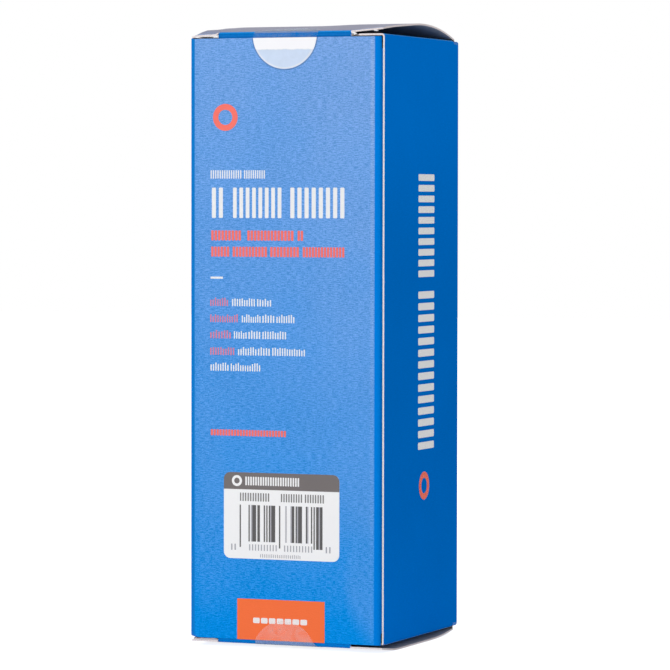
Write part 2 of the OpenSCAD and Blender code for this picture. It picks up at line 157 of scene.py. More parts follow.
class Wire:
    """A number on its way through a node tree. Arithmetic on it adds Math nodes."""

    def __init__(self, wiring: "Wiring", socket: bpy.types.NodeSocket) -> None:
        """Args: wiring, the tree's helper; socket, the output that carries the number."""
        self.wiring = wiring
        self.socket = socket

    def _math(self, operation: str, first: "Wire | float", second: "Wire | float") -> "Wire":
        """Adds one Math node and returns its result."""
        made = self.wiring.node("ShaderNodeMath", {"operation": operation}, {0: first, 1: second})
        return Wire(self.wiring, made.outputs[0])

    def __add__(self, other: "Wire | float") -> "Wire":
        """Returns self + other."""
        return self._math("ADD", self, other)

    def __radd__(self, other: float) -> "Wire":
        """Returns other + self."""
        return self._math("ADD", other, self)

    def __sub__(self, other: "Wire | float") -> "Wire":
        """Returns self - other."""
        return self._math("SUBTRACT", self, other)

    def __rsub__(self, other: float) -> "Wire":
        """Returns other - self."""
        return self._math("SUBTRACT", other, self)

    def __mul__(self, other: "Wire | float") -> "Wire":
        """Returns self * other."""
        return self._math("MULTIPLY", self, other)

    def __rmul__(self, other: float) -> "Wire":
        """Returns other * self."""
        return self._math("MULTIPLY", other, self)

    def __gt__(self, other: "Wire | float") -> "Wire":
        """Returns 1 where self is the larger, else 0."""
        return self._math("GREATER_THAN", self, other)

    def __lt__(self, other: "Wire | float") -> "Wire":
        """Returns 1 where self is the smaller, else 0."""
        return self._math("LESS_THAN", self, other)

    def larger(self, other: "Wire | float") -> "Wire":
        """Returns the larger of the two numbers."""
        return self._math("MAXIMUM", self, other)

    def smaller(self, other: "Wire | float") -> "Wire":
        """Returns the smaller of the two numbers."""
        return self._math("MINIMUM", self, other)

    def away(self, value: float) -> "Wire":
        """Returns how far the number is from a value, without its sign."""
        return self._math("ABSOLUTE", self - value, 0.0)

    def rise(self, low: float, high: float) -> "Wire":
        """Returns a smooth step from 0 at the low value to 1 at the high one.

        Args:
            low: the value at which it begins.
            high: the value at which it ends.

        Returns:
            The step.
        """
        made = self.wiring.node(
            "ShaderNodeMapRange",
            {"interpolation_type": "SMOOTHSTEP"},
            {"Value": self, "From Min": low, "From Max": high},
        )
        return Wire(self.wiring, made.outputs["Result"])

    def about(self, value: float, edge: float) -> "Wire":
        """Returns a smooth step from 0 to 1 over a value, with an edge's width to each side."""
        return self.rise(value - edge, value + edge)


class Wiring:
    """Adds nodes to one material, world or geometry tree."""

    def __init__(self, tree: bpy.types.NodeTree) -> None:
        """Args: tree, the node tree, which is emptied."""
        self.tree = tree
        tree.nodes.clear()

    def feed(self, socket: bpy.types.NodeSocket, value: object) -> None:
        """Sets a socket to a value, or links it.

        Args:
            socket: the input.
            value: a Wire, an output socket, a number, a colour or a vector.
        """
        if isinstance(value, Wire):
            self.tree.links.new(value.socket, socket)
        elif isinstance(value, bpy.types.NodeSocket):
            self.tree.links.new(value, socket)
        elif socket.type == "RGBA" and len(value) == 3:
            socket.default_value = (*value, 1.0)
        else:
            socket.default_value = value

    def node(
        self,
        kind: str,
        settings: Mapping[str, object] | None = None,
        inputs: Mapping[str | int, object] | None = None,
    ) -> bpy.types.Node:
        """Adds one node.

        Args:
            kind: the node's type.
            settings: its properties, set first.
            inputs: the values or links of its sockets, by name or number.

        Returns:
            The node.
        """
        made = self.tree.nodes.new(kind)
        for name, value in (settings or {}).items():
            setattr(made, name, value)
        for key, value in (inputs or {}).items():
            self.feed(made.inputs[key], value)
        return made

    def _measure(self, operation: str, first: object, second: object) -> Wire:
        """Adds one Vector Math node whose result is a number, and returns it."""
        made = self.node("ShaderNodeVectorMath", {"operation": operation}, {0: first, 1: second})
        return Wire(self, made.outputs["Value"])

    def place(self) -> bpy.types.NodeSocket:
        """Returns the object coordinates, in metres."""
        return self.node("ShaderNodeTexCoord").outputs["Object"]

    def axes(self) -> tuple[Wire, Wire, Wire]:
        """Returns the three object coordinates as numbers."""
        made = self.node("ShaderNodeSeparateXYZ", inputs={0: self.place()})
        return tuple(Wire(self, made.outputs[name]) for name in ("X", "Y", "Z"))

    def facing(self, way: Point) -> Wire:
        """Returns how far the surface turns towards a direction, from -1 to 1."""
        normal = self.node("ShaderNodeTexCoord").outputs["Normal"]
        return self._measure("DOT_PRODUCT", normal, way)

    def distance(self, point: Point) -> Wire:
        """Returns the distance from a point, in metres."""
        return self._measure("DISTANCE", self.place(), point)

    def grazing(self) -> Wire:
        """Returns 0 where the surface is seen from straight above it, rising to 1 at its edge."""
        made = self.node("ShaderNodeLayerWeight", inputs={"Blend": 0.5})
        return Wire(self, made.outputs["Facing"])

    def seen(self) -> Wire:
        """Returns 1 to the camera, to gloss and through clear film, and 0 as a light.

        Returns:
            The number.
        """
        ray = self.node("ShaderNodeLightPath").outputs
        kinds = ("Is Camera Ray", "Is Glossy Ray", "Is Transmission Ray")
        camera, glossy, clear = (Wire(self, ray[kind]) for kind in kinds)
        return camera.larger(glossy).larger(clear)

    def vector(
        self, x: "Wire | float", y: "Wire | float", z: "Wire | float"
    ) -> bpy.types.NodeSocket:
        """Returns the three numbers joined to a vector."""
        return self.node("ShaderNodeCombineXYZ", inputs={0: x, 1: y, 2: z}).outputs[0]

    def noise(
        self, vector: bpy.types.NodeSocket, scale: float, detail: float = 2.0, swirl: float = 0.0
    ) -> Wire:
        """Returns soft noise between 0 and 1.

        Args:
            vector: the coordinates that it is read at.
            scale: its features per unit of them.
            detail: its finer layers.
            swirl: its distortion.

        Returns:
            The noise.
        """
        made = self.node(
            "ShaderNodeTexNoise",
            inputs={"Vector": vector, "Scale": scale, "Detail": detail, "Distortion": swirl},
        )
        return Wire(self, made.outputs[0])

    def mix(self, factor: "Wire | float", first: object, second: object) -> bpy.types.NodeSocket:
        """Returns a colour between the first, at factor 0, and the second, at factor 1.

        Args:
            factor: the second colour's share.
            first: the first colour.
            second: the second colour.

        Returns:
            The mixed colour.
        """
        made = self.node(
            "ShaderNodeMix", {"data_type": "RGBA"}, {0: factor, 6: first, 7: second}
        )
        return made.outputs[2]

    def bump(self, height: Wire, distance: float, strength: float) -> bpy.types.NodeSocket:
        """Returns the normal of a surface whose height is between 0 and the distance.

        Args:
            height: the height, as a share of the distance.
            distance: its reach in metres.
            strength: how strongly it shows.

        Returns:
            The normal.
        """
        made = self.node(
            "ShaderNodeBump", inputs={"Height": height, "Distance": distance, "Strength": strength}
        )
        return made.outputs[0]

    def surface(self, **inputs: object) -> None:
        """Ends the tree in a Principled shader whose sockets take the named inputs.

        Args:
            inputs: the sockets' values or links. A _ stands for a space.
        """
        named = {name.replace("_", " "): value for name, value in inputs.items()}
        shader = self.node("ShaderNodeBsdfPrincipled", inputs=named)
        self.node("ShaderNodeOutputMaterial", inputs={"Surface": shader.outputs[0]})


@dataclass(frozen=True)
class Finish:
    """A finish that makes its material once."""

    name: str

    def material(self) -> bpy.types.Material:
        """Returns the finish's material.

        Returns:
            The material.
        """
        found = bpy.data.materials.get(self.name)
        if found:
            return found
        made = bpy.data.materials.new(self.name)
        made.use_nodes = True
        self.wire(Wiring(made.node_tree))
        return made

    def wire(self, wiring: Wiring) -> None:
        """Fills the material's node tree."""
        raise NotImplementedError

    def dress(self, *nodes: str) -> None:
        """Gives the finish to CAD nodes.

        Args:
            nodes: the nodes' names.
        """
        for name in nodes:
            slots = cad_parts[name].data.materials
            slots.clear()
            slots.append(self.material())


@dataclass(frozen=True)
class Texture:
    """Soft noise over the object's own coordinates."""

    scale: float
    detail: float = 2.0
    swirl: float = 0.0
    steps: Span | None = None

    def read(self, wiring: Wiring) -> Wire:
        """Returns the noise between 0 and 1, made harder where it has steps."""
        level = wiring.noise(wiring.place(), self.scale, self.detail, self.swirl)
        return level.rise(*self.steps) if self.steps else level

    def swing(self, wiring: Wiring) -> Wire:
        """Returns the noise about 0, from -0.5 to 0.5."""
        return self.read(wiring) - 0.5


@dataclass(frozen=True)
class Grain:
    """The fine laid emboss that runs across the printed panels.

    Long waves and finer threads are laid along each wall, and both wander up and down.
    """

    line: float = 0.22 * MM
    length: float = 1.6 * MM
    wander: Texture = Texture(1 / (7.0 * MM))
    drift: float = 2.4
    thread_share: float = 0.45
    thread_along: float = 3.4
    thread_across: float = 0.8
    thread_layer: float = 4.0
    detail: float = 1.0
    swirl: float = 0.2
    steps: Span = (0.36, 0.64)
    depth: float = 0.05 * MM
    strength: float = 0.7

    def height(self, wiring: Wiring) -> Wire:
        """Returns the emboss's height between 0 and 1: short wavy lines along each wall.

        Args:
            wiring: the tree's helper.

        Returns:
            The height.
        """
        x, y, z = wiring.axes()
        along = (x + y) * (1 / self.length)
        across = z * (1 / self.line) + self.wander.read(wiring) * self.drift
        coarse = wiring.vector(along, across, 0.0)
        fine = wiring.vector(
            along * self.thread_along, across * self.thread_across, self.thread_layer
        )
        waves, threads = (
            wiring.noise(vector, 1.0, self.detail, self.swirl) for vector in (coarse, fine)
        )
        both = waves * (1 - self.thread_share) + threads * self.thread_share
        return both.rise(*self.steps)


@dataclass(frozen=True)
class PaintedSheen:
    """The painted sheen on the flat print between two folds, a painted reflection of the soft key
    lamp, and the painted shade on the folds.

    It grows with height and to the right, where a band of it goes down towards the foot.
    """

    share: float = 1.0
    # the colour of the painted reflection
    sheen_colour: Colour = (0.94, 0.90, 0.98)
    # painted shade: darker blues painted over the two folds, which turn away from the light
    left_fold_shade: Colour = (0.008, 0.195, 0.61)
    right_fold_shade: Colour = (0.001, 0.21, 0.76)
    fold_shade_share: float = 0.85
    left: float = -28.75 * MM
    right: float = 27.5 * MM
    edge: float = 0.15 * MM
    climbs: tuple[Span, Span] = ((9.0 * MM, 1.85), (-21.4 * MM, 0.956))
    clouds: Texture = Texture(55.0, 3.0)
    cloud_share: float = 0.06
    right_reach: Span = (-4 * MM, 22 * MM)
    right_rise: Span = (8 * MM, 45 * MM)
    right_share: float = 0.026
    left_reach: float = 3 * MM
    left_share: float = 0.014
    band_start: Span = (13 * MM, 22 * MM)
    band_end: Span = (25.5 * MM, 31 * MM)
    band_rise: Span = (30 * MM, 43 * MM)
    band_slant: float = 1.2
    band_share: float = 0.062
    band_clouds: float = 0.03
    line_inset: float = 0.75 * MM
    line_edge: Span = (0.25 * MM, 0.65 * MM)
    line_share: float = 0.3
    ridge_rise: Span = (3 * MM, 22 * MM)
    ridge_foot: float = 0.025
    ridge_share: float = 0.04
    emboss: float = 0.4
    turned: Span = (0.93, 0.96)

    def folds(self, x: Wire) -> tuple[Wire, Wire]:
        """Returns 1 in the left and in the right fold, each 0 on the flat print."""
        return 1 - x.about(self.left, self.edge), x.about(self.right, self.edge)

    def cover(self, wiring: Wiring, crests: Wire, facing: Wire) -> Wire:
        """Returns how much painted sheen lies on the print, between 0 and 1.

        Args:
            wiring: the tree's helper.
            crests: the emboss's height.
            facing: how far the surface turns the way that the print does.

        Returns:
            The painted sheen's share.
        """
        x, _, z = wiring.axes()
        clouds = self.clouds.swing(wiring)
        right = x.rise(*self.right_reach) * z.rise(*self.right_rise) * self.right_share
        left = (1 - x.rise(self.left, self.left + self.left_reach)) * self.left_share
        low, high = ((z - start) * climb for start, climb in self.climbs)
        level = low.smaller(high) + right - left + clouds * self.cloud_share
        band = x.rise(*self.band_start) * (1 - x.rise(*self.band_end))
        band = band * (z + x * self.band_slant).rise(*self.band_rise)
        level = level.larger(band * (clouds * self.band_clouds + self.band_share)).larger(0.0)
        # painted highlight: the sheen is painted stronger in a line beside the right fold
        line = 1 - x.away(self.right - self.line_inset).rise(*self.line_edge)
        # painted highlight: the sheen is painted stronger on the emboss's crests
        ridges = (crests - 0.5) * (z.rise(*self.ridge_rise) * self.ridge_share + self.ridge_foot)
        embossed = (crests - 0.5) * self.emboss + 1
        level = level * (line * self.line_share + 1) * embossed + ridges
        before, after = self.folds(x)
        # the painted reflection lies only on the flat face that turns the print's way
        flat = (1 - before) * (1 - after) * facing.rise(*self.turned)
        return level.larger(0.0) * flat * self.share

    def over(
        self, wiring: Wiring, colour: bpy.types.NodeSocket, crests: Wire, facing: Wire
    ) -> bpy.types.NodeSocket:
        """Returns the colour with the folds' painted shade and the painted sheen over it.

        Args:
            wiring: the tree's helper.
            colour: the print's colour.
            crests: the emboss's height.
            facing: how far the surface turns the way that the print does.

        Returns:
            The colour of the print with all of them.
        """
        before, after = self.folds(wiring.axes()[0])
        colour = wiring.mix(before * self.fold_shade_share, colour, self.left_fold_shade)
        colour = wiring.mix(after * self.fold_shade_share, colour, self.right_fold_shade)
        return wiring.mix(self.cover(wiring, crests, facing), colour, self.sheen_colour)


@dataclass(frozen=True)
class PaintedSealShadow:
    """The painted shadow that a round seal's edge casts on the print, as a dark line."""

    centre: Point
    radius: float
    colour: Colour = (0.06, 0.13, 0.30)
    gap: float = 0.12 * MM
    edge: Span = (0.1 * MM, 0.4 * MM)
    share: float = 0.5

    def over(self, wiring: Wiring, colour: bpy.types.NodeSocket) -> bpy.types.NodeSocket:
        """Returns the colour with the painted shadow line over it."""
        rim = wiring.distance(self.centre).away(self.radius + self.gap)
        return wiring.mix((1 - rim.rise(*self.edge)) * self.share, colour, self.colour)


@dataclass(frozen=True)
class PrintedBoard(Finish):
    """Folding boxboard: printed on one face, grey-white on the other, raw at its edges."""

    side: Side = Side.FRONT
    turned: float = 0.35
    ink: Colour = (0.0, 0.275, 0.80)
    tone_spread: float = 0.17
    tone_clouds: Texture = Texture(38.0)
    cloud_share: float = 0.4
    # painted light: the print is painted lighter below this height and darker above it
    middle: float = 105 * MM
    painted_light_by_height: float = 1.4
    # the spans and the foot's share of the painted light at a wall's ends
    foot: Span = (8 * MM, 62 * MM)
    head: Span = (105 * MM, 165 * MM)
    foot_share: float = 0.6
    painted_end_light: float = 0.0
    painted_sheen: PaintedSheen | None = None
    seal_shadow: PaintedSealShadow | None = None
    sheen: float = 0.0
    sheen_tone: Colour = (0.235, 0.209, 0.309)
    sheen_turn: Span = (0.78, 0.92)
    sheen_reach: Span = (-29.2 * MM, -27.8 * MM)
    raw: Colour = (0.76, 0.69, 0.69)
    raw_lighter: float = 1.22
    fibre: Texture = Texture(3200.0, 3.0)
    fibre_steps: Span = (0.3, 0.7)
    inner: Colour = (0.47, 0.47, 0.50)
    inner_darker: float = 0.72
    flecks: Texture = Texture(900.0, 4.0, steps=(0.58, 0.75))
    fleck_share: float = 0.35
    gloss: float = 0.34
    bare_roughness: float = 0.92
    fibre_roughness: float = 0.06
    fibre_relief: float = 0.5
    specular: float = 0.10
    grain: Grain = Grain()
    emboss_share: float = 1.0

    def tone(self, wiring: Wiring, crests: Wire) -> Wire:
        """Returns how light the print is painted, between 0 and 1: random tone, with painted
        highlight on the emboss's crests and painted light towards the foot.

        Args:
            wiring: the tree's helper.
            crests: the emboss's height.

        Returns:
            The tone, as a share of the way from the darker ink to the lighter.
        """
        z = wiring.axes()[2]
        # painted highlight: the emboss's crests are painted lighter
        tone = (crests - 0.5) * self.emboss_share + 0.5
        tone = tone + self.tone_clouds.swing(wiring) * self.cloud_share
        if self.painted_sheen:
            # painted light: with the painted sheen, the print is painted lighter towards the foot
            # and darker towards the head
            tone = tone + (self.middle - z) * self.painted_light_by_height
        # painted light: the wall is painted lighter towards its head and, by the foot share, its
        # foot
        if self.painted_end_light:
            ends = z.rise(*self.head) + (1 - z.rise(*self.foot)) * self.foot_share
            tone = tone + ends * self.painted_end_light
        return tone

    def print_colour(self, wiring: Wiring, crests: Wire, facing: Wire) -> bpy.types.NodeSocket:
        """Returns the colour of the printed face.

        Args:
            wiring: the tree's helper.
            crests: the emboss's height.
            facing: how far the surface turns the way that the print does.

        Returns:
            The colour.
        """
        low, high = (scaled(self.ink, 1 + way * self.tone_spread) for way in (-1, 1))
        colour = wiring.mix(self.tone(wiring, crests), low, high)
        if self.painted_sheen:
            colour = self.painted_sheen.over(wiring, colour, crests, facing)
        if self.seal_shadow:
            colour = self.seal_shadow.over(wiring, colour)
        if self.sheen:
            near = wiring.axes()[1].rise(*self.sheen_reach)
            shine = wiring.grazing().rise(*self.sheen_turn) * near * self.sheen
            colour = wiring.mix(shine, colour, self.sheen_tone)
        return colour

    def wire(self, wiring: Wiring) -> None:
        """Tells print, inner face and raw edge apart by the way that the surface faces.

        Args:
            wiring: the tree's helper.
        """
        facing = wiring.facing(self.side.value)
        printed = facing > self.turned
        inside = facing < -self.turned
        crests = self.grain.height(wiring)
        fibre = self.fibre.read(wiring)
        fleck = self.flecks.read(wiring) * self.fleck_share
        bare = wiring.mix(
            fibre.rise(*self.fibre_steps), self.raw, scaled(self.raw, self.raw_lighter)
        )
        lining = wiring.mix(fleck, self.inner, scaled(self.inner, self.inner_darker))
        outer = wiring.mix(printed, bare, self.print_colour(wiring, crests, facing))
        relief = crests * printed * self.emboss_share + fibre * (1 - printed) * self.fibre_relief
        roughness = (1 - printed) * (self.bare_roughness - self.gloss) + self.gloss
        wiring.surface(
            Base_Color=wiring.mix(inside, outer, lining),
            Roughness=roughness + fibre * self.fibre_roughness,
            Specular_IOR_Level=self.specular,
            Normal=wiring.bump(relief, self.grain.depth, self.grain.strength),
        )


@dataclass(frozen=True)
class PrintInk(Finish):
    """Ink that lies over the embossed board."""

    colour: Colour = grey(0.85)
    thin: float = 0.0
    thin_share: float = 0.4
    under: Colour = (0.10, 0.33, 0.76)
    worn: float = 0.05
    mottle: Texture = Texture(1500.0, 3.0)
    roughness: Span = (0.42, 0.1)
    specular: float = 0.2
    grain: Grain = Grain(depth=0.03 * MM)

    def wire(self, wiring: Wiring) -> None:
        """Lets the board's emboss and a little of what is under the ink show through.

        Args:
            wiring: the tree's helper.
        """
        crests = self.grain.height(wiring)
        mottle = self.mottle.read(wiring)
        gaps = (1 - crests) * (self.worn + self.thin) + mottle * self.worn
        least, more = self.roughness
        wiring.surface(
            Base_Color=wiring.mix(gaps + self.thin * self.thin_share, self.colour, self.under),
            Roughness=least + mottle * more,
            Specular_IOR_Level=self.specular,
            Normal=wiring.bump(crests, self.grain.depth, self.grain.strength),
        )


@dataclass(frozen=True)
class LabelPaper(Finish):
    """Smooth white self-adhesive paper, the toner printed on it, or loose board fibre."""

    colour: Colour = (0.88, 0.88, 0.89)
    wear: float = 0.04
    tooth: Texture = Texture(2600.0, 4.0)
    clouds: Texture = Texture(120.0, 3.0)
    cloud_share: float = 0.6
    roughness: Span = (0.46, 0.12)
    depth: float = 0.012 * MM
    strength: float = 0.4

    def wire(self, wiring: Wiring) -> None:
        """Adds fine paper tooth and faint unevenness.

        Args:
            wiring: the tree's helper.
        """
        tooth, clouds = self.tooth.read(wiring), self.clouds.read(wiring)
        lighter = tuple(min(WHITE, part + self.wear) for part in self.colour)
        uneven = clouds * self.cloud_share + tooth * (1 - self.cloud_share)
        least, more = self.roughness
        wiring.surface(
            Base_Color=wiring.mix(uneven, self.colour, lighter),
            Roughness=least + tooth * more,
            Normal=wiring.bump(tooth, self.depth, self.strength),
        )


@dataclass(frozen=True)
class SealFilm(Finish):
    """Milky self-adhesive film, with a painted reflection as a brighter band beside the fold.

    Beyond is 1 where the fold is above the film's face, and -1 where it is below.
    """

    colour: Colour = (0.66, 0.79, 1.0)
    fold_colour: Colour = (0.60, 0.76, 1.0)
    # the colour of the painted reflection in the band
    band: Colour = (0.93, 0.93, 0.97)
    band_cover: float = 0.97
    beyond: float = 1.0
    band_foot: float = 1.0
    band_head: float = 2.0
    fraying: Texture = Texture(700.0, 3.0)
    frays: float = 0.35 * MM
    edge: float = 0.2 * MM
    smears: Texture = Texture(260.0, 4.0, 1.2)
    body: float = 0.86
    body_spread: float = 0.16
    above: float = 0.04
    above_spread: float = 0.2
    rim_centre: Point | None = None
    rim_radius: float = 10.0 * MM
    rim_edge: Span = (-0.7 * MM, -0.35 * MM)
    rim_highlight_share: float = 0.5
    roughness: float = 0.24
    specular: float = 0.2
    depth: float = 0.05 * MM
    strength: float = 0.3

    def wire(self, wiring: Wiring) -> None:
        """Varies how much of the print shows through the film.

        Args:
            wiring: the tree's helper.
        """
        z = wiring.axes()[2] * self.beyond
        frayed = z + self.fraying.swing(wiring) * (2 * self.frays)
        smears = self.smears.read(wiring)
        over = z.about(self.band_head, self.edge / 2)
        # painted reflection: a brighter band beside the fold
        painted_glare = frayed.about(self.band_foot, self.edge) * (1 - over)
        milky = (smears - 0.5) * self.body_spread + self.body
        clearer = (smears - 0.5) * self.above_spread + self.above
        opacity = milky * (1 - over) + clearer * over
        # painted highlight: the film is painted whiter along its round rim
        if self.rim_centre:
            inner, outer = (self.rim_radius + part for part in self.rim_edge)
            rim = wiring.distance(self.rim_centre).rise(inner, outer)
            painted_glare = painted_glare.larger(rim * (1 - over) * self.rim_highlight_share)
        film = wiring.mix(over, self.colour, self.fold_colour)
        wiring.surface(
            Base_Color=wiring.mix(painted_glare, film, self.band),
            Roughness=self.roughness,
            Specular_IOR_Level=self.specular,
            Alpha=opacity.larger(painted_glare * self.band_cover),
            Normal=wiring.bump(smears, self.depth, self.strength),
        )


@dataclass(frozen=True)
class BallRubber(Finish):
    """Matte moulded rubber with fine specks and a dusty bloom."""

    colour: Colour = (0.012, 0.075, 0.42)
    bloom: Colour = (0.10, 0.19, 0.52)
    dust: Texture = Texture(90.0, 4.0, 0.6, (0.42, 0.8))
    dust_share: float = 0.35
    specks: Texture = Texture(2400.0, 1.0, steps=(0.68, 0.76))
    speck_share: float = 0.25
    skin: Texture = Texture(1400.0, 5.0)
    roughness: Span = (0.62, 0.2)
    depth: float = 0.03 * MM
    strength: float = 0.6

    def wire(self, wiring: Wiring) -> None:
        """Adds moulded skin, specks and bloom.

        Args:
            wiring: the tree's helper.
        """
        skin = self.skin.read(wiring)
        dust = self.dust.read(wiring) * self.dust_share
        specks = self.specks.read(wiring) * self.speck_share
        least, more = self.roughness
        wiring.surface(
            Base_Color=wiring.mix(dust + specks, self.colour, self.bloom),
            Roughness=least + skin * more,
            Normal=wiring.bump(skin, self.depth, self.strength),
        )


@dataclass(frozen=True)
class StudioWhite(Finish):
    """A pale floor that shows white around the object and keeps its shadow."""

    colour: Colour = grey(0.80)
    glow: float = 0.84

    def wire(self, wiring: Wiring) -> None:
        """Adds a glow that only the camera, gloss and clear film see.

        Args:
            wiring: the tree's helper.
        """
        strength = wiring.seen() * self.glow
        matt = wiring.node("ShaderNodeBsdfDiffuse", inputs={"Color": self.colour})
        glow = wiring.node(
            "ShaderNodeEmission", inputs={"Color": grey(WHITE), "Strength": strength}
        )
        both = wiring.node("ShaderNodeAddShader", inputs={0: matt.outputs[0], 1: glow.outputs[0]})
        wiring.node("ShaderNodeOutputMaterial", inputs={"Surface": both.outputs[0]})


class GeometryTree:
    """A Geometry Nodes tree with named inputs, run on an empty mesh to make a plain one."""

    def __init__(self, name: str, sizes: Mapping[str, float]) -> None:
        """Begins the tree.

        Args:
            name: its name.
            sizes: the first value of each input, which is an int for a count.
        """
        self.tree = bpy.data.node_groups.new(name, "GeometryNodeTree")
        face = self.tree.interface
        face.new_socket("Geometry", in_out="INPUT", socket_type="NodeSocketGeometry")
        for label, value in sizes.items():
            kind = "Int" if isinstance(value, int) else "Float"
            made = face.new_socket(label, in_out="INPUT", socket_type=f"NodeSocket{kind}")
            made.default_value = value
        for label, kind in (("Seed", "Int"), ("Material", "Material")):
            face.new_socket(label, in_out="INPUT", socket_type=f"NodeSocket{kind}")
        face.new_socket("Geometry", in_out="OUTPUT", socket_type="NodeSocketGeometry")
        self.wiring = Wiring(self.tree)
        self.given = self.wiring.node("NodeGroupInput").outputs

    def number(self, label: str) -> Wire:
        """Returns a named input as a number."""
        return Wire(self.wiring, self.given[label])

    def row(self, mode: str, count: str, span: str) -> bpy.types.NodeSocket:
        """Returns points along x.

        Args:
            mode: OFFSET where the span is one step, END_POINTS where it is the whole length.
            count: the name of the input that counts the points.
            span: the name of the input that holds the span.

        Returns:
            The points.
        """
        reach = self.wiring.vector(self.number(span), 0.0, 0.0)
        made = self.wiring.node(
            "GeometryNodeMeshLine", {"mode": mode}, {"Count": self.given[count], "Offset": reach}
        )
        return made.outputs[0]

    def draw(self, low: object, high: object, vector: bool = False) -> bpy.types.NodeSocket:
        """Returns a value drawn for each point.

        Args:
            low: its least value.
            high: its greatest value.
            vector: whether it is a vector, not a number.

        Returns:
            The values.
        """
        kind, least, result = ("FLOAT_VECTOR", 0, 0) if vector else ("FLOAT", 2, 1)
        made = self.wiring.node(
            "FunctionNodeRandomValue",
            {"data_type": kind},
            {least: low, least + 1: high, "Seed": self.given["Seed"]},
        )
        return made.outputs[result]

    def transform(self, shape: bpy.types.NodeSocket, **inputs: object) -> bpy.types.NodeSocket:
        """Returns a shape that is moved or scaled by the named inputs."""
        named = {"Geometry": shape, **inputs}
        return self.wiring.node("GeometryNodeTransform", inputs=named).outputs[0]

    def finish(
        self, points: bpy.types.NodeSocket, shape: bpy.types.NodeSocket, **inputs: object
    ) -> None:
        """Puts the shape on the points, realizes it, sets the material and ends the tree.

        Args:
            points: the points.
            shape: the shape that goes on each.
            inputs: how the shapes are picked, scaled and turned.
        """
        named = {"Points": points, "Instance": shape, **inputs}
        set_out = self.wiring.node("GeometryNodeInstanceOnPoints", inputs=named)
        real = self.wiring.node("GeometryNodeRealizeInstances", inputs={0: set_out.outputs[0]})
        dressed = self.wiring.node(
            "GeometryNodeSetMaterial",
            inputs={"Geometry": real.outputs[0], "Material": self.given["Material"]},
        )
        self.wiring.node("NodeGroupOutput", inputs={0: dressed.outputs[0]})

    def run(self, values: Mapping[str, object]) -> bpy.types.Mesh:
        """Runs the tree once.

        Args:
            values: the values of its named inputs.

        Returns:
            A plain mesh with its material.
        """
        holder = add_object("holder", bpy.data.meshes.new("holder"))
        modifier = holder.modifiers.new("tree", "NODES")
        modifier.node_group = self.tree
        names = {item.name: item.identifier for item in self.tree.interface.items_tree
                 if item.item_type == "SOCKET" and item.in_out == "INPUT"}
        for label, value in values.items():
            modifier[names[label]] = value
        holder.update_tag()
        graph = bpy.context.evaluated_depsgraph_get()
        mesh = bpy.data.meshes.new_from_object(
            holder.evaluated_get(graph), preserve_all_data_layers=True, depsgraph=graph
        )
        bpy.data.objects.remove(holder)
        return mesh


def stroke_row_tree() -> GeometryTree:
    """Returns a tree that sets a row of upright rounded strokes on a baseline.

    Returns:
        The tree. Its inputs size the strokes, and its draws shorten them.
    """
    made = GeometryTree("stroke_row", {
        "Count": 4,
        "Pitch": 2 * MM,
        "Width": 1 * MM,
        "Height": 4 * MM,
        "Corner": 0.2 * MM,
        "Thickness": FILM,
        "Shortest": 1.0,
    })
    wiring, given = made.wiring, made.given
    outline = wiring.node(
        "GeometryNodeCurvePrimitiveQuadrilateral",
        inputs={"Width": given["Width"], "Height": given["Height"]},
    )
    rounded = wiring.node(
        "GeometryNodeFilletCurve",
        {"mode": "POLY"},
        {"Curve": outline.outputs[0], "Count": 3, "Radius": given["Corner"]},
    )
    face = wiring.node("GeometryNodeFillCurve", {"mode": "NGONS"}, {0: rounded.outputs[0]})
    lift = wiring.vector(0.0, made.number("Height") * 0.5, 0.0)
    based = made.transform(face.outputs[0], Translation=lift)
    body = wiring.node(
        "GeometryNodeExtrudeMesh",
        inputs={"Mesh": based, "Offset Scale": given["Thickness"], "Individual": False},
    )
    underside = wiring.node("GeometryNodeFlipFaces", inputs={0: based})
    closed = wiring.node("GeometryNodeJoinGeometry")
    for part in (body.outputs["Mesh"], underside.outputs[0]):
        wiring.feed(closed.inputs[0], part)
    whole = wiring.node(
        "GeometryNodeMergeByDistance", inputs={"Geometry": closed.outputs[0], "Distance": WELD}
    )
    tall = made.draw(made.number("Shortest"), 1.0)
    row = made.row("OFFSET", "Count", "Pitch")
    made.finish(row, whole.outputs[0], Scale=wiring.vector(1.0, tall, 1.0))
    return made


def bar_field_tree() -> GeometryTree:
    """Returns a tree that fills a strip with upright bars, picked module by module by a draw.

    Returns:
        The tree. Its inputs size the strip, and say which draws make a bar.
    """
    made = GeometryTree("bar_field", {
        "Modules": 40,
        "Module": 0.45 * MM,
        "Height": 10 * MM,
        "Thickness": FILM,
        "Least draw": 0.0,
        "Most draw": 0.5,
    })
    wiring = made.wiring
    drawn = Wire(wiring, made.draw(0.0, 1.0))
    picked = (drawn > made.number("Least draw")) * (drawn < made.number("Most draw"))
    width, height, depth = (made.number(label) for label in ("Module", "Height", "Thickness"))
    bar = wiring.node("GeometryNodeMeshCube", inputs={"Size": wiring.vector(width, height, depth)})
    lift = wiring.vector(0.0, height * 0.5, depth * 0.5)
    based = made.transform(bar.outputs[0], Translation=lift)
    made.finish(made.row("OFFSET", "Modules", "Module"), based, Selection=picked)
    return made


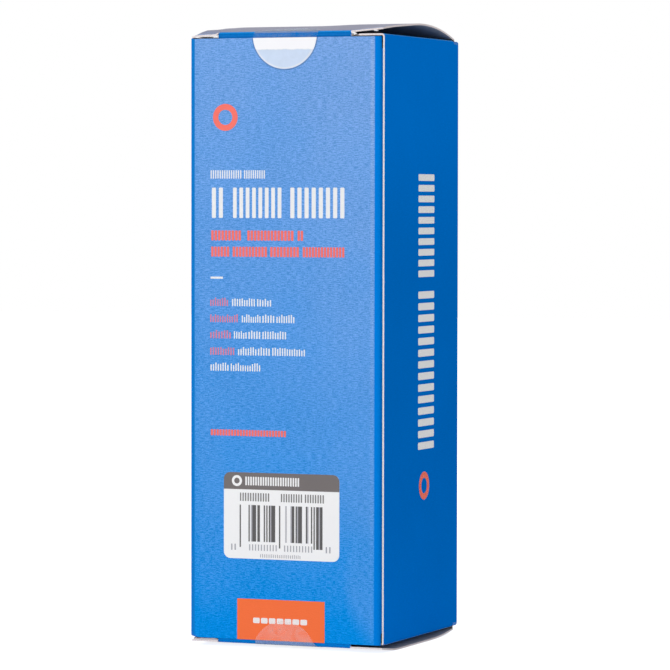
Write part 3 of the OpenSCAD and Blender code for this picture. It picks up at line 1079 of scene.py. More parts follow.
def torn_fibre_tree() -> GeometryTree:
    """Returns a tree that scatters small flakes of torn board about a short line.

    Returns:
        The tree. Its inputs size the line and the flakes.
    """
    made = GeometryTree("torn_fibres", {
        "Count": 14,
        "Length": 1.8 * MM,
        "Rise": 0.3 * MM,
        "Flake": 0.25 * MM,
        "Stretch": 1.0,
    })
    wiring = made.wiring
    rise = made.number("Rise")
    low = wiring.vector(rise * -0.4, rise * -0.2, rise * -1.0)
    high = wiring.vector(rise * 0.4, rise * 0.2, rise)
    row = made.row("END_POINTS", "Count", "Length")
    strewn = wiring.node(
        "GeometryNodeSetPosition", inputs={"Geometry": row, "Offset": made.draw(low, high, True)}
    )
    flake = wiring.node(
        "GeometryNodeMeshIcoSphere", inputs={"Radius": made.number("Flake"), "Subdivisions": 2}
    )
    stretch = wiring.vector(made.number("Stretch"), 1.0, 1.0)
    made.finish(
        strewn.outputs[0],
        made.transform(flake.outputs[0], Scale=stretch),
        Scale=made.draw((0.6, 0.25, 0.3), (1.4, 0.5, 0.8), True),
        Rotation=made.draw((-0.3, -0.25, -0.2), (0.3, 0.25, 0.2), True),
    )
    return made


@dataclass(frozen=True)
class Wall:
    """A face of the carton that takes print: its origin, reading and upward directions."""

    origin: Point
    along: Side
    upward: Side

    def matrix(self, start: float, base: float) -> Matrix:
        """Returns the placement of a print.

        Args:
            start: distance along the reading direction from the wall's origin.
            base: distance upwards from it.

        Returns:
            The matrix from the print's own plane to the wall.
        """
        along, upward = Vector(self.along.value), Vector(self.upward.value)
        outward = along.cross(upward)
        turned = Matrix((along, upward, outward)).transposed().to_4x4()
        spot = Vector(self.origin) + along * start + upward * base
        return Matrix.Translation(spot) @ turned


@dataclass(frozen=True)
class Strokes:
    """A row of upright strokes that stands in the place of one word. Lengths in millimetres."""

    start: float
    end: float
    base: float
    height: float
    count: int
    cover: float = 0.58
    shortest: float = 1.0
    rounding: float = 0.22

    def mesh(self, tree: GeometryTree, ink: Finish) -> bpy.types.Mesh:
        """Returns the row's mesh, at the origin of the print's plane.

        Args:
            tree: the tree that sets the strokes.
            ink: its finish.

        Returns:
            The mesh.
        """
        pitch = (self.end - self.start) * MM / (self.count - 1 + self.cover)
        width, height = pitch * self.cover, self.height * MM
        mesh = tree.run({
            "Count": self.count,
            "Pitch": pitch,
            "Width": width,
            "Height": height,
            "Corner": min(width, height) * self.rounding,
            "Thickness": FILM,
            "Shortest": self.shortest,
            "Seed": self.count,
            "Material": ink.material(),
        })
        mesh.transform(Matrix.Translation((width / 2, 0.0, 0.0)))
        return mesh


def plate_mesh(low: Spot, high: Spot, upper_radius: float) -> bpy.types.Mesh:
    """Returns a flat closed oblong plate.

    Args:
        low: its lower left corner in the print's plane.
        high: its upper right corner.
        upper_radius: the radius of its two upper corners.

    Returns:
        The mesh, whose base is in the print's plane.
    """
    steps = 6 if upper_radius else 0
    (left, foot), (right, head) = low, high
    rim = [(left, foot), (right, foot)]
    for first, centre in enumerate((right - upper_radius, left + upper_radius)):
        for step in range(steps + 1):
            turn = RIGHT_ANGLE * (first + step / max(steps, 1))
            across, up = upper_radius * math.cos(turn), upper_radius * math.sin(turn)
            rim.append((centre + across, head - upper_radius + up))
    work = bmesh.new()
    base = work.faces.new([work.verts.new((*spot, 0.0)) for spot in rim])
    raised = bmesh.ops.extrude_face_region(work, geom=[base], use_keep_orig=True)
    top = [piece for piece in raised["geom"] if isinstance(piece, bmesh.types.BMVert)]
    bmesh.ops.translate(work, verts=top, vec=(0.0, 0.0, FILM))
    bmesh.ops.recalc_face_normals(work, faces=work.faces)
    return mesh_of(work, "plate")


def ring_mesh(centre: Spot, outer: float, inner: float) -> bpy.types.Mesh:
    """Returns a flat closed ring.

    Args:
        centre: its centre in the print's plane.
        outer: its outer radius.
        inner: its inner radius.

    Returns:
        The mesh, whose base is in the print's plane.
    """
    steps = 48
    work = bmesh.new()
    loops = []
    for radius, height in ((inner, 0.0), (outer, 0.0), (outer, FILM), (inner, FILM)):
        turns = [math.tau * step / steps for step in range(steps)]
        loops.append([
            work.verts.new((
                centre[0] + radius * math.cos(turn), centre[1] + radius * math.sin(turn), height
            ))
            for turn in turns
        ])
    for number, loop in enumerate(loops):
        follower = loops[(number + 1) % len(loops)]
        for step in range(steps):
            after = (step + 1) % steps
            work.faces.new((loop[step], follower[step], follower[after], loop[after]))
    bmesh.ops.recalc_face_normals(work, faces=work.faces)
    return mesh_of(work, "ring")


class PrintJob:
    """Gathers the prints of one ink on one wall of the sleeve. Lengths in millimetres."""

    def __init__(self, name: str, wall: Wall, ink: Finish) -> None:
        """Begins the job.

        Args:
            name: the piece's name.
            wall: the plane that it lies on.
            ink: its finish.
        """
        self.name = name
        self.wall = wall
        self.ink = ink
        self.work = bmesh.new()

    def add(self, mesh: bpy.types.Mesh, start: float = 0.0, base: float = 0.0) -> None:
        """Places one mesh on the wall, at a distance along and up from its origin.

        Args:
            mesh: the mesh, which is taken into the job.
            start: its distance along the wall.
            base: its distance up the wall.
        """
        mesh.transform(self.wall.matrix(start * MM, base * MM))
        self.work.from_mesh(mesh)
        bpy.data.meshes.remove(mesh)

    def strokes(self, tree: GeometryTree, rows: Iterable[Strokes]) -> "PrintJob":
        """Adds rows of strokes and returns the job.

        Args:
            tree: the tree that sets the strokes.
            rows: the rows.

        Returns:
            The job.
        """
        for row in rows:
            self.add(row.mesh(tree, self.ink), row.start, row.base)
        return self

    def plate(self, low: Spot, high: Spot, upper_radius: float = 0.0) -> "PrintJob":
        """Adds an oblong between two corners and returns the job.

        Args:
            low: its lower left corner.
            high: its upper right corner.
            upper_radius: the radius of its two upper corners.

        Returns:
            The job.
        """
        spots = (tuple(part * MM for part in spot) for spot in (low, high))
        self.add(plate_mesh(*spots, upper_radius * MM))
        return self

    def ring(self, centre: Spot, outer: float, inner: float) -> "PrintJob":
        """Adds a ring and returns the job."""
        self.add(ring_mesh((centre[0] * MM, centre[1] * MM), outer * MM, inner * MM))
        return self

    def piece(self) -> None:
        """Makes the piece, which rides on the sleeve."""
        add_piece(self.name, mesh_of(self.work, self.name, self.ink.material()), "sleeve")


def front_walls(node: str) -> tuple[Wall, Wall]:
    """Returns the print plane on a node's front face, and the one over a first print there.

    Args:
        node: the CAD node.

    Returns:
        The two planes.
    """
    low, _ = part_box(node)
    return tuple(
        Wall((0.0, place, 0.0), Side.RIGHT, Side.UP) for place in (low.y, low.y - FILM)
    )


@dataclass
class FrontPrint:
    """The front panel's rows of plain strokes, ring, rule and colour patch, in millimetres.

    The title is given by its base and height, the patch by its left, right and height, and the
    mark by its centre, outer and inner radius.
    """

    title: tuple[float, float] = (124.6, 8.8)
    slogan_height: float = 2.9
    list_height: float = 2.4
    list_cover: float = 0.5
    list_shortest: float = 0.66
    patch: tuple[float, float, float] = (-15.2, 12.25, 11.85)
    mark: tuple[Spot, float, float] = ((-19.05, 153.7), 3.9, 2.2)

    def listed(self, start: float, end: float, base: float, count: int) -> Strokes:
        """Returns one uneven row of the list.

        Args:
            start: where it begins.
            end: where it ends.
            base: its baseline.
            count: its number of strokes.

        Returns:
            The row.
        """
        return Strokes(
            start, end, base, self.list_height, count, self.list_cover, self.list_shortest
        )

    def white_rows(self) -> list[Strokes]:
        """Returns the rows in white.

        Returns:
            The rows of the heading, the title and the list.
        """
        small, cover = self.list_height, self.list_cover
        rows = [
            Strokes(-23.7, -14.0, 136.0, small, 14, cover),
            Strokes(-13.1, -6.6, 136.0, small, 10, cover),
            Strokes(-23.3, -19.8, *self.title, 2),
            Strokes(-16.6, -1.4, *self.title, 8),
            Strokes(1.4, 18.2, *self.title, 8),
        ]
        for base, *words in (
            (99.1, (-16.9, -9.7, 10), (-9.0, -4.6, 6)),
            (94.4, (-13.8, -7.9, 9), (-7.3, -3.6, 5), (-2.9, 2.7, 8)),
            (89.7, (-16.3, -12.3, 6), (-11.7, -8.0, 5), (-7.3, 0.1, 10)),
            (84.9, (-15.0, -9.2, 8), (-8.7, -5.0, 5), (-4.2, 6.0, 14)),
            (80.3, (-23.7, -18.0, 8), (-17.3, -8.0, 13)),
        ):
            rows += [self.listed(start, end, base, count) for start, end, count in words]
        return rows

    def coral_rows(self) -> list[Strokes]:
        """Returns the rows in coral.

        Returns:
            The rows of the slogan, and the fine one below.
        """
        tall, cover = self.slogan_height, 0.74
        rows = []
        for base, words in (
            (118.1, ((-23.5, -14.1, 9), (-12.1, 2.4, 14), (3.7, 5.4, 2))),
            (113.4, ((-23.5, -17.8, 6), (-16.7, -5.9, 11), (-4.9, 4.1, 9), (5.3, 18.2, 14))),
        ):
            rows += [Strokes(start, end, base, tall, count, cover) for start, end, count in words]
        return [*rows, Strokes(-23.6, 0.1, 61.5, 1.8, 26, cover)]

    def faint_rows(self) -> list[Strokes]:
        """Returns the thin coral rows that begin the list's lines.

        Returns:
            The rows.
        """
        return [
            self.listed(-23.8, end, base, count)
            for base, end, count in (
                (99.1, -18.2, 8), (94.4, -15.1, 12), (89.7, -17.3, 8), (84.9, -16.2, 10)
            )
        ]

    def build(self, tree: GeometryTree) -> None:
        """Makes the front panel's prints.

        Args:
            tree: the tree that sets the strokes.
        """
        wall, over = front_walls("front_panel")
        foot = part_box("front_panel")[0].z / MM
        left, right, height = self.patch
        white = PrintInk("white_ink", grey(0.90))
        coral = PrintInk("coral_ink", (1.0, 0.16, 0.10))
        faint = PrintInk("thin_coral_ink", (0.95, 0.17, 0.14), thin=0.25)
        orange = PrintInk(
            "orange_ink", (1.0, 0.185, 0.055), under=(1.0, 0.17, 0.05), specular=0.06
        )
        on_patch = PrintInk("patch_white_ink", grey(0.9), under=orange.colour)
        job = PrintJob("front_white_print", wall, white).strokes(tree, self.white_rows())
        job.plate((-23.7, 107.0), (-19.8, 107.6)).piece()
        job = PrintJob("front_coral_print", wall, coral).strokes(tree, self.coral_rows())
        job.ring(*self.mark).piece()
        PrintJob("front_list_print", wall, faint).strokes(tree, self.faint_rows()).piece()
        PrintJob("front_colour_patch", wall, orange).plate(
            (left, foot), (right, foot + height)
        ).piece()
        PrintJob("patch_white_print", over, on_patch).strokes(
            tree, [Strokes(-10.15, 6.8, 7.35, 1.6, 7, 0.84)]
        ).piece()


@dataclass
class SidePrint:
    """The right panel's two upright words of plain strokes and its ring, in millimetres."""

    baseline: float = 9.3
    cap_height: float = 12.9
    cover: float = 0.62
    words: tuple[tuple[float, float, int], ...] = ((57.0, 103.2, 14), (107.4, 137.4, 10))
    mark: tuple[Spot, float, float] = ((46.3, 7.9), 4.1, 2.3)

    def build(self, tree: GeometryTree) -> None:
        """Makes the right panel's prints, which read upwards.

        Args:
            tree: the tree that sets the strokes.
        """
        _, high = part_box("right_panel")
        wall = Wall((high.x, self.baseline * MM, 0.0), Side.UP, Side.FRONT)
        white = PrintInk("side_white_ink", grey(0.95), under=(0.55, 0.68, 0.85))
        coral = PrintInk("side_coral_ink", (0.98, 0.13, 0.06), under=(0.7, 0.1, 0.08))
        PrintJob("side_white_print", wall, white).strokes(tree, [
            Strokes(start, end, 0.0, self.cap_height, count, self.cover)
            for start, end, count in self.words
        ]).piece()
        PrintJob("side_coral_print", wall, coral).ring(*self.mark).piece()


@dataclass
class StockLabel:
    """The white label: a dark head band, rows of strokes and a field of bars, in millimetres."""

    corner: float = 2.0
    band_height: float = 4.9
    module: float = 0.40
    bars_left: float = -14.8
    bars_base: float = 31.0
    bars_top: float = 41.6
    guard_drop: float = 1.7
    modules: int = 67
    guard: int = 7
    middle: int = 4
    first_seed: int = 11
    dark_draw: float = 0.42
    pale_draw: float = 0.60

    def build(self, tree: GeometryTree, bars: GeometryTree) -> None:
        """Makes the label's paper finish and its prints.

        Args:
            tree: the tree that sets the strokes.
            bars: the tree that picks the bars.
        """
        LabelPaper("label_paper_finish").dress("stock_label")
        dark = LabelPaper("label_band_ink", (0.105, 0.088, 0.088), 0.02)
        text = LabelPaper("label_text_ink", (0.13, 0.125, 0.13), 0.03)
        pale = LabelPaper("label_pale_ink", (0.34, 0.34, 0.38), 0.08)
        black = LabelPaper("label_bar_ink", (0.035, 0.033, 0.035), 0.02)
        white = LabelPaper("label_white_ink")
        wall, over = front_walls("stock_label")
        (left, _, _), (right, _, head) = (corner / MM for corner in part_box("stock_label"))
        foot = head - self.band_height
        PrintJob("label_head_band", wall, dark).plate(
            (left, foot), (right, head), self.corner
        ).piece()
        PrintJob("label_band_print", over, white).strokes(
            tree, [Strokes(-12.6, 4.3, foot + 1.2, 2.5, 22, 0.6)]
        ).ring((-15.25, foot + 2.45), 1.6, 0.85).piece()
        PrintJob("label_text_print", wall, text).strokes(tree, [
            Strokes(start, end, 42.7, 2.4, count, 0.5)
            for start, end, count in ((-14.3, -5.1, 12), (-1.4, 5.2, 9), (6.1, 12.0, 8))
        ]).piece()
        job = PrintJob("label_small_print", wall, pale).strokes(tree, [
            Strokes(start, end, 28.4, 1.8, count, 0.4)
            for start, end, count in (
                (-17.1, -15.6, 2), (-11.4, -2.7, 10), (-0.4, 8.4, 10), (12.6, 14.1, 2)
            )
        ])
        job.strokes(tree, [Strokes(-7.9, 4.7, 26.45, 1.1, 22, 0.4, 0.8)])
        self.add_bars(job, bars, self.dark_draw, self.pale_draw)
        job.piece()
        job = PrintJob("label_bars", wall, black)
        self.add_bars(job, bars, 0.0, self.dark_draw)
        job.piece()

    def add_bars(self, job: PrintJob, tree: GeometryTree, least: float, most: float) -> None:
        """Adds the bars whose draw lies between the two limits, with longer ones as guards.

        Args:
            job: the print that they join.
            tree: the tree that picks the bars.
            least: the lowest draw that counts.
            most: the highest.
        """
        half = (self.modules - 2 * self.guard - self.middle) // 2
        start = self.bars_left
        for number, count in enumerate((self.guard, half, self.middle, half, self.guard)):
            base = self.bars_base - (self.guard_drop if number % 2 == 0 else 0.0)
            mesh = tree.run({
                "Modules": count,
                "Module": self.module * MM,
                "Height": (self.bars_top - base) * MM,
                "Thickness": FILM,
                "Least draw": least,
                "Most draw": most,
                "Seed": self.first_seed + number,
                "Material": job.ink.material(),
            })
            job.add(mesh, start + self.module / 2, base)
            start += count * self.module


def seal_disc(node: str) -> tuple[Point, float]:
    """Returns the top seal's round part on the front panel, level with a node's front face.

    Args:
        node: the CAD node.

    Returns:
        The centre and the radius.
    """
    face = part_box(node)[0].y
    low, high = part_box("top_seal_front_half")
    radius = (high.x - low.x) / 2
    return ((low.x + high.x) / 2, face, low.z + radius), radius


@dataclass
class Sleeve:
    """The four walls and the glue flap."""

    side_ink: Colour = (0.0, 0.185, 0.70)

    def build(self) -> None:
        """Dresses the walls, each by the way that it faces."""
        # painted shadow: a dark line round the top seal's edge on the front panel
        line = PaintedSealShadow(*seal_disc("front_panel"))
        PrintedBoard(
            "front_wall", Side.FRONT, painted_sheen=PaintedSheen(), seal_shadow=line, specular=0.0
        ).dress("front_panel")
        PrintedBoard("back_wall", Side.BACK, painted_sheen=PaintedSheen(share=0.6)).dress("back_panel")
        PrintedBoard(
            "left_wall", Side.LEFT, ink=self.side_ink, emboss_share=0.4
        ).dress("left_panel")
        # painted light: the right wall's head and foot are painted lighter
        PrintedBoard(
            "right_wall", Side.RIGHT, ink=self.side_ink, emboss_share=0.3, specular=0.0,
            painted_end_light=0.42,
        ).dress("right_panel")
        PrintedBoard("seam_flap", Side.RIGHT, emboss_share=0.2).dress("glue_flap")
        log.info("sleeve: 5 panels")


@dataclass
class Closures:
    """The lids, tuck flaps, dust flaps and seals of both ends."""

    band_height: float = 3.45 * MM

    def build(self) -> None:
        """Dresses both ends."""
        # painted light: the tuck folds carry lit and shaded copies of one blue, the bottom one
        # painted lighter where it faces down, away from the lamps
        for end, out, fold, ink in (
            ("top", Side.UP, Side.FRONT_AND_UP, (0.0, 0.165, 0.56)),
            ("bottom", Side.DOWN, Side.FRONT_AND_DOWN, (0.0, 0.24, 0.76)),
        ):
            PrintedBoard(
                f"{end}_lid_board", out, emboss_share=0.5, sheen=0.9
            ).dress(f"{end}_lid")
            PrintedBoard(
                f"{end}_tuck_board", fold, ink=ink, emboss_share=0.5, specular=0.03
            ).dress(f"{end}_tuck_flap")
            PrintedBoard(f"{end}_dust_board", out, emboss_share=0.3).dress(
                f"{end}_dust_flap_left", f"{end}_dust_flap_right"
            )
        centre, radius = seal_disc("top_seal_front_half")
        foot, head = (corner.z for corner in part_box("front_panel"))
        SealFilm(
            "top_seal_film", band_foot=head - self.band_height, band_head=head,
            rim_centre=centre, rim_radius=radius,
        ).dress("top_seal_front_half")
        SealFilm("lid_seal_film", body=0.30).dress("top_seal_lid_half", "bottom_seal_lid_half")
        # painted glare: the bottom film's pale pink is a painted reflection over the orange patch
        SealFilm(
            "bottom_seal_film", colour=(1.0, 0.80, 0.74), beyond=-1.0, band_head=-foot, body=0.21,
            body_spread=0.5, above=0.28,
        ).dress("bottom_seal_front_half")
        log.info("closures: 2 ends")


@dataclass(frozen=True)
class Tear:
    """Loose board fibres along a short line, in millimetres."""

    name: str
    body: str
    finish: Finish
    spot: Point
    length: float
    rise: float
    flake: float
    stretch: float
    count: int
    seed: int

    def build(self, tree: GeometryTree) -> None:
        """Makes the fibres, which ride on the body.

        Args:
            tree: the tree that scatters the flakes.
        """
        mesh = tree.run({
            "Count": self.count, "Length": self.length * MM, "Rise": self.rise * MM,
            "Flake": self.flake * MM, "Stretch": self.stretch, "Seed": self.seed,
            "Material": self.finish.material(),
        })
        mesh.transform(Matrix.Translation([part * MM for part in self.spot]))
        add_piece(self.name, mesh, self.body)


@dataclass
class WarpedLid:
    """The top lid as it lies on the carton, and the torn board fibres at the slits.

    The lid's left free corner hangs, its right one is lifted, and its crest sags towards the left.
    """

    left_slit: float = -21.6 * MM
    right_slit: float = 20.0 * MM
    tip: float = 29.8 * MM
    front: float = -30.1 * MM
    back: float = 28 * MM
    fall_at_slit: float = 0.40 * MM
    fall_at_tip: float = 0.72 * MM
    curl: float = 0.30 * MM
    curl_length: float = 2.0 * MM
    tear_length: float = 0.7 * MM
    lift: float = 0.78 * MM
    sag: float = 0.32 * MM
    left_sag: float = 0.2 * MM
    hang_end: float = -19 * MM
    lift_end: Span = (-26 * MM, -2 * MM)
    crest_start: Span = (-22 * MM, -8 * MM)
    crest_end: float = 2 * MM
    sag_end: Span = (-1 * MM, 13 * MM)
    left_sag_start: Span = (24 * MM, 30 * MM)
    cuts: int = 16
    cut_offset: float = 0.01 * MM

    def fall(self, x: float, y: float) -> float:
        """Returns how far a point of the lid lies below its place in the frame.

        Args:
            x: the point's place from left to right.
            y: from front to back.

        Returns:
            The distance, which is below 0 where the lid is lifted.
        """
        share = ease(x, self.left_slit, self.left_slit - self.tear_length)
        along = clamp((self.left_slit - x) / (self.left_slit + self.tip))
        curled = clamp((self.curl_length - self.tip - x) / self.curl_length)
        hanging = share * (self.fall_at_slit + (self.fall_at_tip - self.fall_at_slit) * along)
        hanging = (hanging + self.curl * curled ** 2) * (1 - ease(y, self.front, self.hang_end))
        outwards = clamp((x - self.right_slit) / (self.tip - self.right_slit))
        lifted = self.lift * outwards * (1 - ease(y, *self.lift_end))
        crest = ease(y, *self.crest_start) * (1 - ease(y, self.crest_end, self.back))
        sag = self.sag * (1 - ease(x, *self.sag_end))
        return hanging - lifted + crest * (sag + self.left_sag * ease(-x, *self.left_sag_start))

    def lid(self) -> None:
        """Makes the lid from the frame's own, cut finely and bent."""
        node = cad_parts["top_lid"]
        work = bmesh.new()
        work.from_mesh(node.data)
        bmesh.ops.remove_doubles(work, verts=work.verts, dist=WELD)
        for first, last, way in (
            (-self.tip, self.left_slit, (1, 0, 0)),
            (self.left_slit - self.tear_length, self.right_slit, (1, 0, 0)),
            (self.right_slit, self.tip, (1, 0, 0)),
            (self.front, self.back, (0, 1, 0)),
        ):
            for step in range(self.cuts + 1):
                at = first + (last - first) * step / self.cuts + self.cut_offset
                bmesh.ops.bisect_plane(
                    work, geom=[*work.verts, *work.edges, *work.faces], dist=1e-8,
                    plane_co=[at * part for part in way], plane_no=way,
                )
        for vert in work.verts:
            vert.co.z -= self.fall(vert.co.x, vert.co.y)
        bmesh.ops.recalc_face_normals(work, faces=work.faces)
        mesh = mesh_of(work, "top_lid_warped", node.data.materials[0])
        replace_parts(add_piece("top_lid_warped", mesh, "top_lid"), "top_lid")

    def tears(self) -> None:
        """Adds the fibres at the slits, the worn edge at the lower left corner, and dark flakes of
        painted shade in the lower left slit.
        """
        tree = torn_fibre_tree()
        white = LabelPaper("torn_fibre_finish", (0.86, 0.84, 0.84), 0.08)
        worn = LabelPaper("worn_edge_finish", (0.53, 0.48, 0.51), 0.10)
        # painted shade: near-black flakes that fill the lower left slit, where there is only shade
        dark = LabelPaper("slit_shade_finish", (0.10, 0.09, 0.10), 0.06)
        for name, body, finish, spot, *sizes in (
            ("torn_slit_left", "top_tuck_flap", white, (-22.9, -29.95, 176.87),
             1.2, 0.16, 0.24, 1.0, 12, 3),
            ("torn_edge_left", "top_lid", white, (-25.6, -29.95, 177.12),
             2.2, 0.07, 0.15, 2.0, 12, 4),
            ("torn_slit_right", "top_lid", white, (20.2, -30.0, 177.35),
             1.3, 0.45, 0.26, 1.0, 18, 5),
            ("torn_nick_right", "top_lid", white, (27.2, -30.0, 178.15),
             0.9, 0.14, 0.22, 1.5, 9, 8),
            ("worn_edge_low_left", "bottom_lid", worn, (-28.9, -29.75, 1.80),
             6.3, 0.24, 0.40, 2.2, 36, 9),
            ("slit_fibres_low_left", "bottom_lid", dark, (-29.0, -29.35, 2.30),
             6.6, 0.06, 0.28, 2.4, 26, 10),
        ):
            Tear(name, body, finish, spot, *sizes).build(tree)

    def build(self) -> None:
        """Makes the lid and its tears."""
        self.lid()
        self.tears()


@dataclass
class CornerEnds:
    """The board that rounds off the ends of the upright folds, between the walls and the flaps.

    Each strip follows the walls' outer face round one fold, and is as thick as the board.
    """

    half: float = 30.5 * MM
    fold: float = 1.8 * MM
    board: float = 0.5 * MM
    wall_low: float = 3.59 * MM
    wall_high: float = 176.09 * MM
    cut_radius: float = 2.4 * MM
    cut_margin: float = 0.05 * MM
    end_radius: float = 1.4 * MM
    cut_foot: float = 2.49 * MM
    side_foot: float = 2.70 * MM
    side_head: float = 176.97 * MM
    least: float = 0.05 * MM
    steps: int = 9
    straight_steps: int = 4
    ink: Colour = (0.0, 0.185, 0.66)

    def outline(self, spans: tuple[float, float], inset: float, share: float) -> list[Spot]:
        """Returns points round the fold of a corner whose walls go along +x and +y.

        Args:
            spans: how far the strip reaches before the fold, along y, and after it, along x.
            inset: its distance inside the outer face.
            share: how much of the fold it follows. Below 1 it ends there.

        Returns:
            The points, in order round the fold.
        """
        first, last = spans
        centre = self.half - self.fold
        radius = self.fold - inset
        reach = self.half - inset
        steps = self.straight_steps
        points = [(reach, centre - first * (1 - step / steps)) for step in range(steps)]
        for step in range(self.steps + 1):
            turn = RIGHT_ANGLE * share * step / self.steps
            points.append((centre + radius * math.cos(turn), centre + radius * math.sin(turn)))
        if share == 1.0:
            points += [(centre - last * (step + 1) / steps, reach) for step in range(steps)]
        return points

    def arc(self, spot: Spot, radius: float, foot: float) -> float:
        """Returns the height of a round cut, seen along the fold's diagonal, over a spot.

        Args:
            spot: the spot.
            radius: the cut's radius.
            foot: the cut's lowest height.

        Returns:
            The height.
        """
        centre = self.half - self.fold
        reach = math.hypot(centre, centre) + self.fold + self.cut_margin
        beyond = max(0.0, sum(spot) / math.sqrt(2) - (reach - radius))
        return foot + radius - self.cut_margin - math.sqrt(max(0.0, radius ** 2 - beyond ** 2))

    def heights(self, spot: Spot, on_side: bool, foot: float | None) -> tuple[float, float]:
        """Returns where the strip meets the wall and where it ends, over a spot of its outline.

        Args:
            spot: the spot.
            on_side: whether it belongs to the side wall.
            foot: the height that a lower strip goes down to, or None for an upper strip.

        Returns:
            The two heights.
        """
        rounding = max(0.0, self.arc(spot, self.end_radius, 0.0))
        if foot is None:
            return self.wall_high, max(self.wall_high + self.least, self.side_head - rounding)
        wall = self.wall_low if on_side else self.cut_foot
        near = max(wall, self.arc(spot, self.cut_radius, self.cut_foot))
        return near, min(near - self.least, foot + rounding)

    def strip(
        self, name: str, facing: Side, spans: tuple[float, float], foot: float | None = None,
        share: float = 1.0,
    ) -> None:
        """Makes one strip.

        Args:
            name: the piece's name.
            facing: the corner, by the way that it faces.
            spans: how far it reaches along the side wall, and along the front or back one.
            foot: the height that a lower strip goes down to, or None for an upper strip.
            share: how much of the fold it follows.
        """
        ways = [math.copysign(1, part) for part in facing.value[:2]]
        work = bmesh.new()
        rings = []
        outer, inner = (self.outline(spans, inset, share) for inset in (0.0, self.board))
        for number, pair in enumerate(zip(outer, inner)):
            on_side = number < self.straight_steps + self.steps // 2
            ring = [
                [
                    work.verts.new((spot[0] * ways[0], spot[1] * ways[1], height))
                    for height in self.heights(spot, on_side, foot)
                ]
                for spot in pair
            ]
            rings.append((*ring[0], *reversed(ring[1])))
        for last, now in zip(rings, rings[1:]):
            for number in range(4):
                after = (number + 1) % 4
                work.faces.new((last[number], last[after], now[after], now[number]))
        work.faces.new(rings[0])
        work.faces.new(rings[-1])
        bmesh.ops.recalc_face_normals(work, faces=work.faces)
        finish = PrintedBoard(
            f"fold_print_{facing.name.lower()}", facing, ink=self.ink, emboss_share=0.3
        )
        add_piece(name, mesh_of(work, name, finish.material()), "sleeve")

    def build(self) -> None:
        """Makes the strips at the back corners and at the front left one."""
        back = (2.95 * MM, 0.2 * MM)
        for side, facing in (("right", Side.RIGHT_AND_BACK), ("left", Side.LEFT_AND_BACK)):
            self.strip(f"fold_end_back_{side}_high", facing, back)
            self.strip(f"fold_end_back_{side}_low", facing, back, self.side_foot)
        facing, low, high = Side.LEFT_AND_FRONT, (3.6 * MM, 1.8 * MM), (3.6 * MM, 0.0)
        self.strip("fold_end_front_left_low", facing, low, self.cut_foot)
        self.strip("fold_end_front_left_high", facing, high, share=0.5)


@dataclass
class BallStack:
    """The three balls."""

    rubber: BallRubber = BallRubber("ball_rubber_finish")

    def build(self) -> None:
        """Dresses both halves of each ball."""
        for place in ("lower", "middle", "upper"):
            self.rubber.dress(f"{place}_ball_bottom_half", f"{place}_ball_top_half")
        log.info("balls: 3")


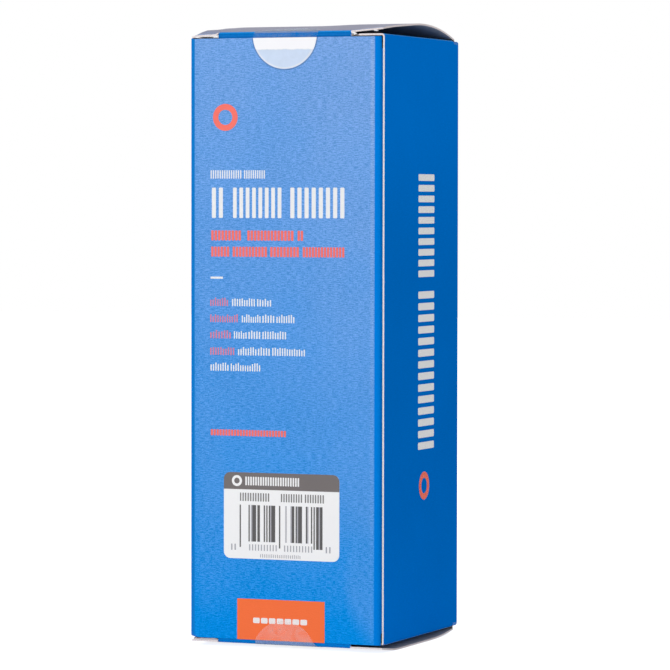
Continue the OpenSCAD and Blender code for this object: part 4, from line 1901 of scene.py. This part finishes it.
@dataclass
class Studio:
    """The floor, the lamps, the surroundings and the camera."""

    camera_place: Point = (0.44566, -1.07735, 0.13002)
    yaw: float = 0.390
    pitch: float = -0.03429
    roll: float = 0.0015
    focal_px: float = 3952.6
    image_px: float = 670.0
    sensor: float = 36.0
    clip_end: float = 20.0
    floor_size: float = 6.0
    ambient: float = 0.5
    aim: Point = (0.0, 0.0, 0.09)

    def camera(self) -> None:
        """Stands the camera where the photograph was taken from."""
        data = bpy.data.cameras.new("camera")
        data.sensor_width = self.sensor
        data.lens = self.focal_px * self.sensor / self.image_px
        data.clip_end = self.clip_end
        made = add_object("camera", data)
        made.matrix_world = (
            Matrix.Translation(self.camera_place)
            @ Matrix.Rotation(self.yaw, 4, "Z")
            @ Matrix.Rotation(RIGHT_ANGLE + self.pitch, 4, "X")
            @ Matrix.Rotation(self.roll, 4, "Z")
        )
        bpy.context.scene.camera = made

    def lamp(self, name: str, place: Point, size: tuple[float, float], watts: float) -> None:
        """Adds one soft lamp that points at the object.

        Args:
            name: its name.
            place: where it stands.
            size: its width and height.
            watts: its power.
        """
        data = bpy.data.lights.new(name, "AREA")
        data.shape = "RECTANGLE"
        data.size, data.size_y = size
        data.energy = watts
        made = add_object(name, data)
        made.location = place
        way = Vector(self.aim) - Vector(place)
        made.rotation_euler = way.to_track_quat("-Z", "Y").to_euler()

    def floor(self) -> None:
        """Lays the pale floor."""
        mesh = bpy.data.meshes.new("floor")
        half = self.floor_size / 2
        rim = [(-half, -half, 0.0), (half, -half, 0.0), (half, half, 0.0), (-half, half, 0.0)]
        mesh.from_pydata(rim, [], [(0, 1, 2, 3)])
        mesh.materials.append(StudioWhite("studio_floor").material())
        add_object("floor", mesh)

    def surroundings(self) -> None:
        """Fills the surroundings with plain white, weaker as a light than as a backdrop."""
        world = bpy.data.worlds.new("studio")
        bpy.context.scene.world = world
        world.use_nodes = True
        wiring = Wiring(world.node_tree)
        strength = wiring.seen() * (1.0 - self.ambient) + self.ambient
        sky = wiring.node(
            "ShaderNodeBackground", inputs={"Color": grey(WHITE), "Strength": strength}
        )
        wiring.node("ShaderNodeOutputWorld", inputs={"Surface": sky.outputs[0]})

    def build(self) -> None:
        """Sets up the studio."""
        bpy.context.scene.view_settings.view_transform = "Standard"
        self.camera()
        self.floor()
        self.surroundings()
        self.lamp("key", (-0.42, -0.98, 0.20), (0.55, 0.60), 5.9)
        self.lamp("fill", (1.1, -0.25, 0.45), (0.8, 0.8), 1.7)
        log.info("studio ready")


def main() -> None:
    """Dresses the frame, adds the prints and sets up the studio."""
    logging.basicConfig(level=logging.INFO, format="%(name)s: %(message)s")
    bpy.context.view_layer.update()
    for leftover in [o for o in bpy.data.objects if o.type in {"CAMERA", "LIGHT"}]:
        bpy.data.objects.remove(leftover)
    Studio().build()
    strokes = stroke_row_tree()
    bars = bar_field_tree()
    Sleeve().build()
    Closures().build()
    WarpedLid().build()
    CornerEnds().build()
    BallStack().build()
    FrontPrint().build(strokes)
    SidePrint().build(strokes)
    StockLabel().build(strokes, bars)
    bpy.context.view_layer.update()


if __name__ == "__main__":
    main()
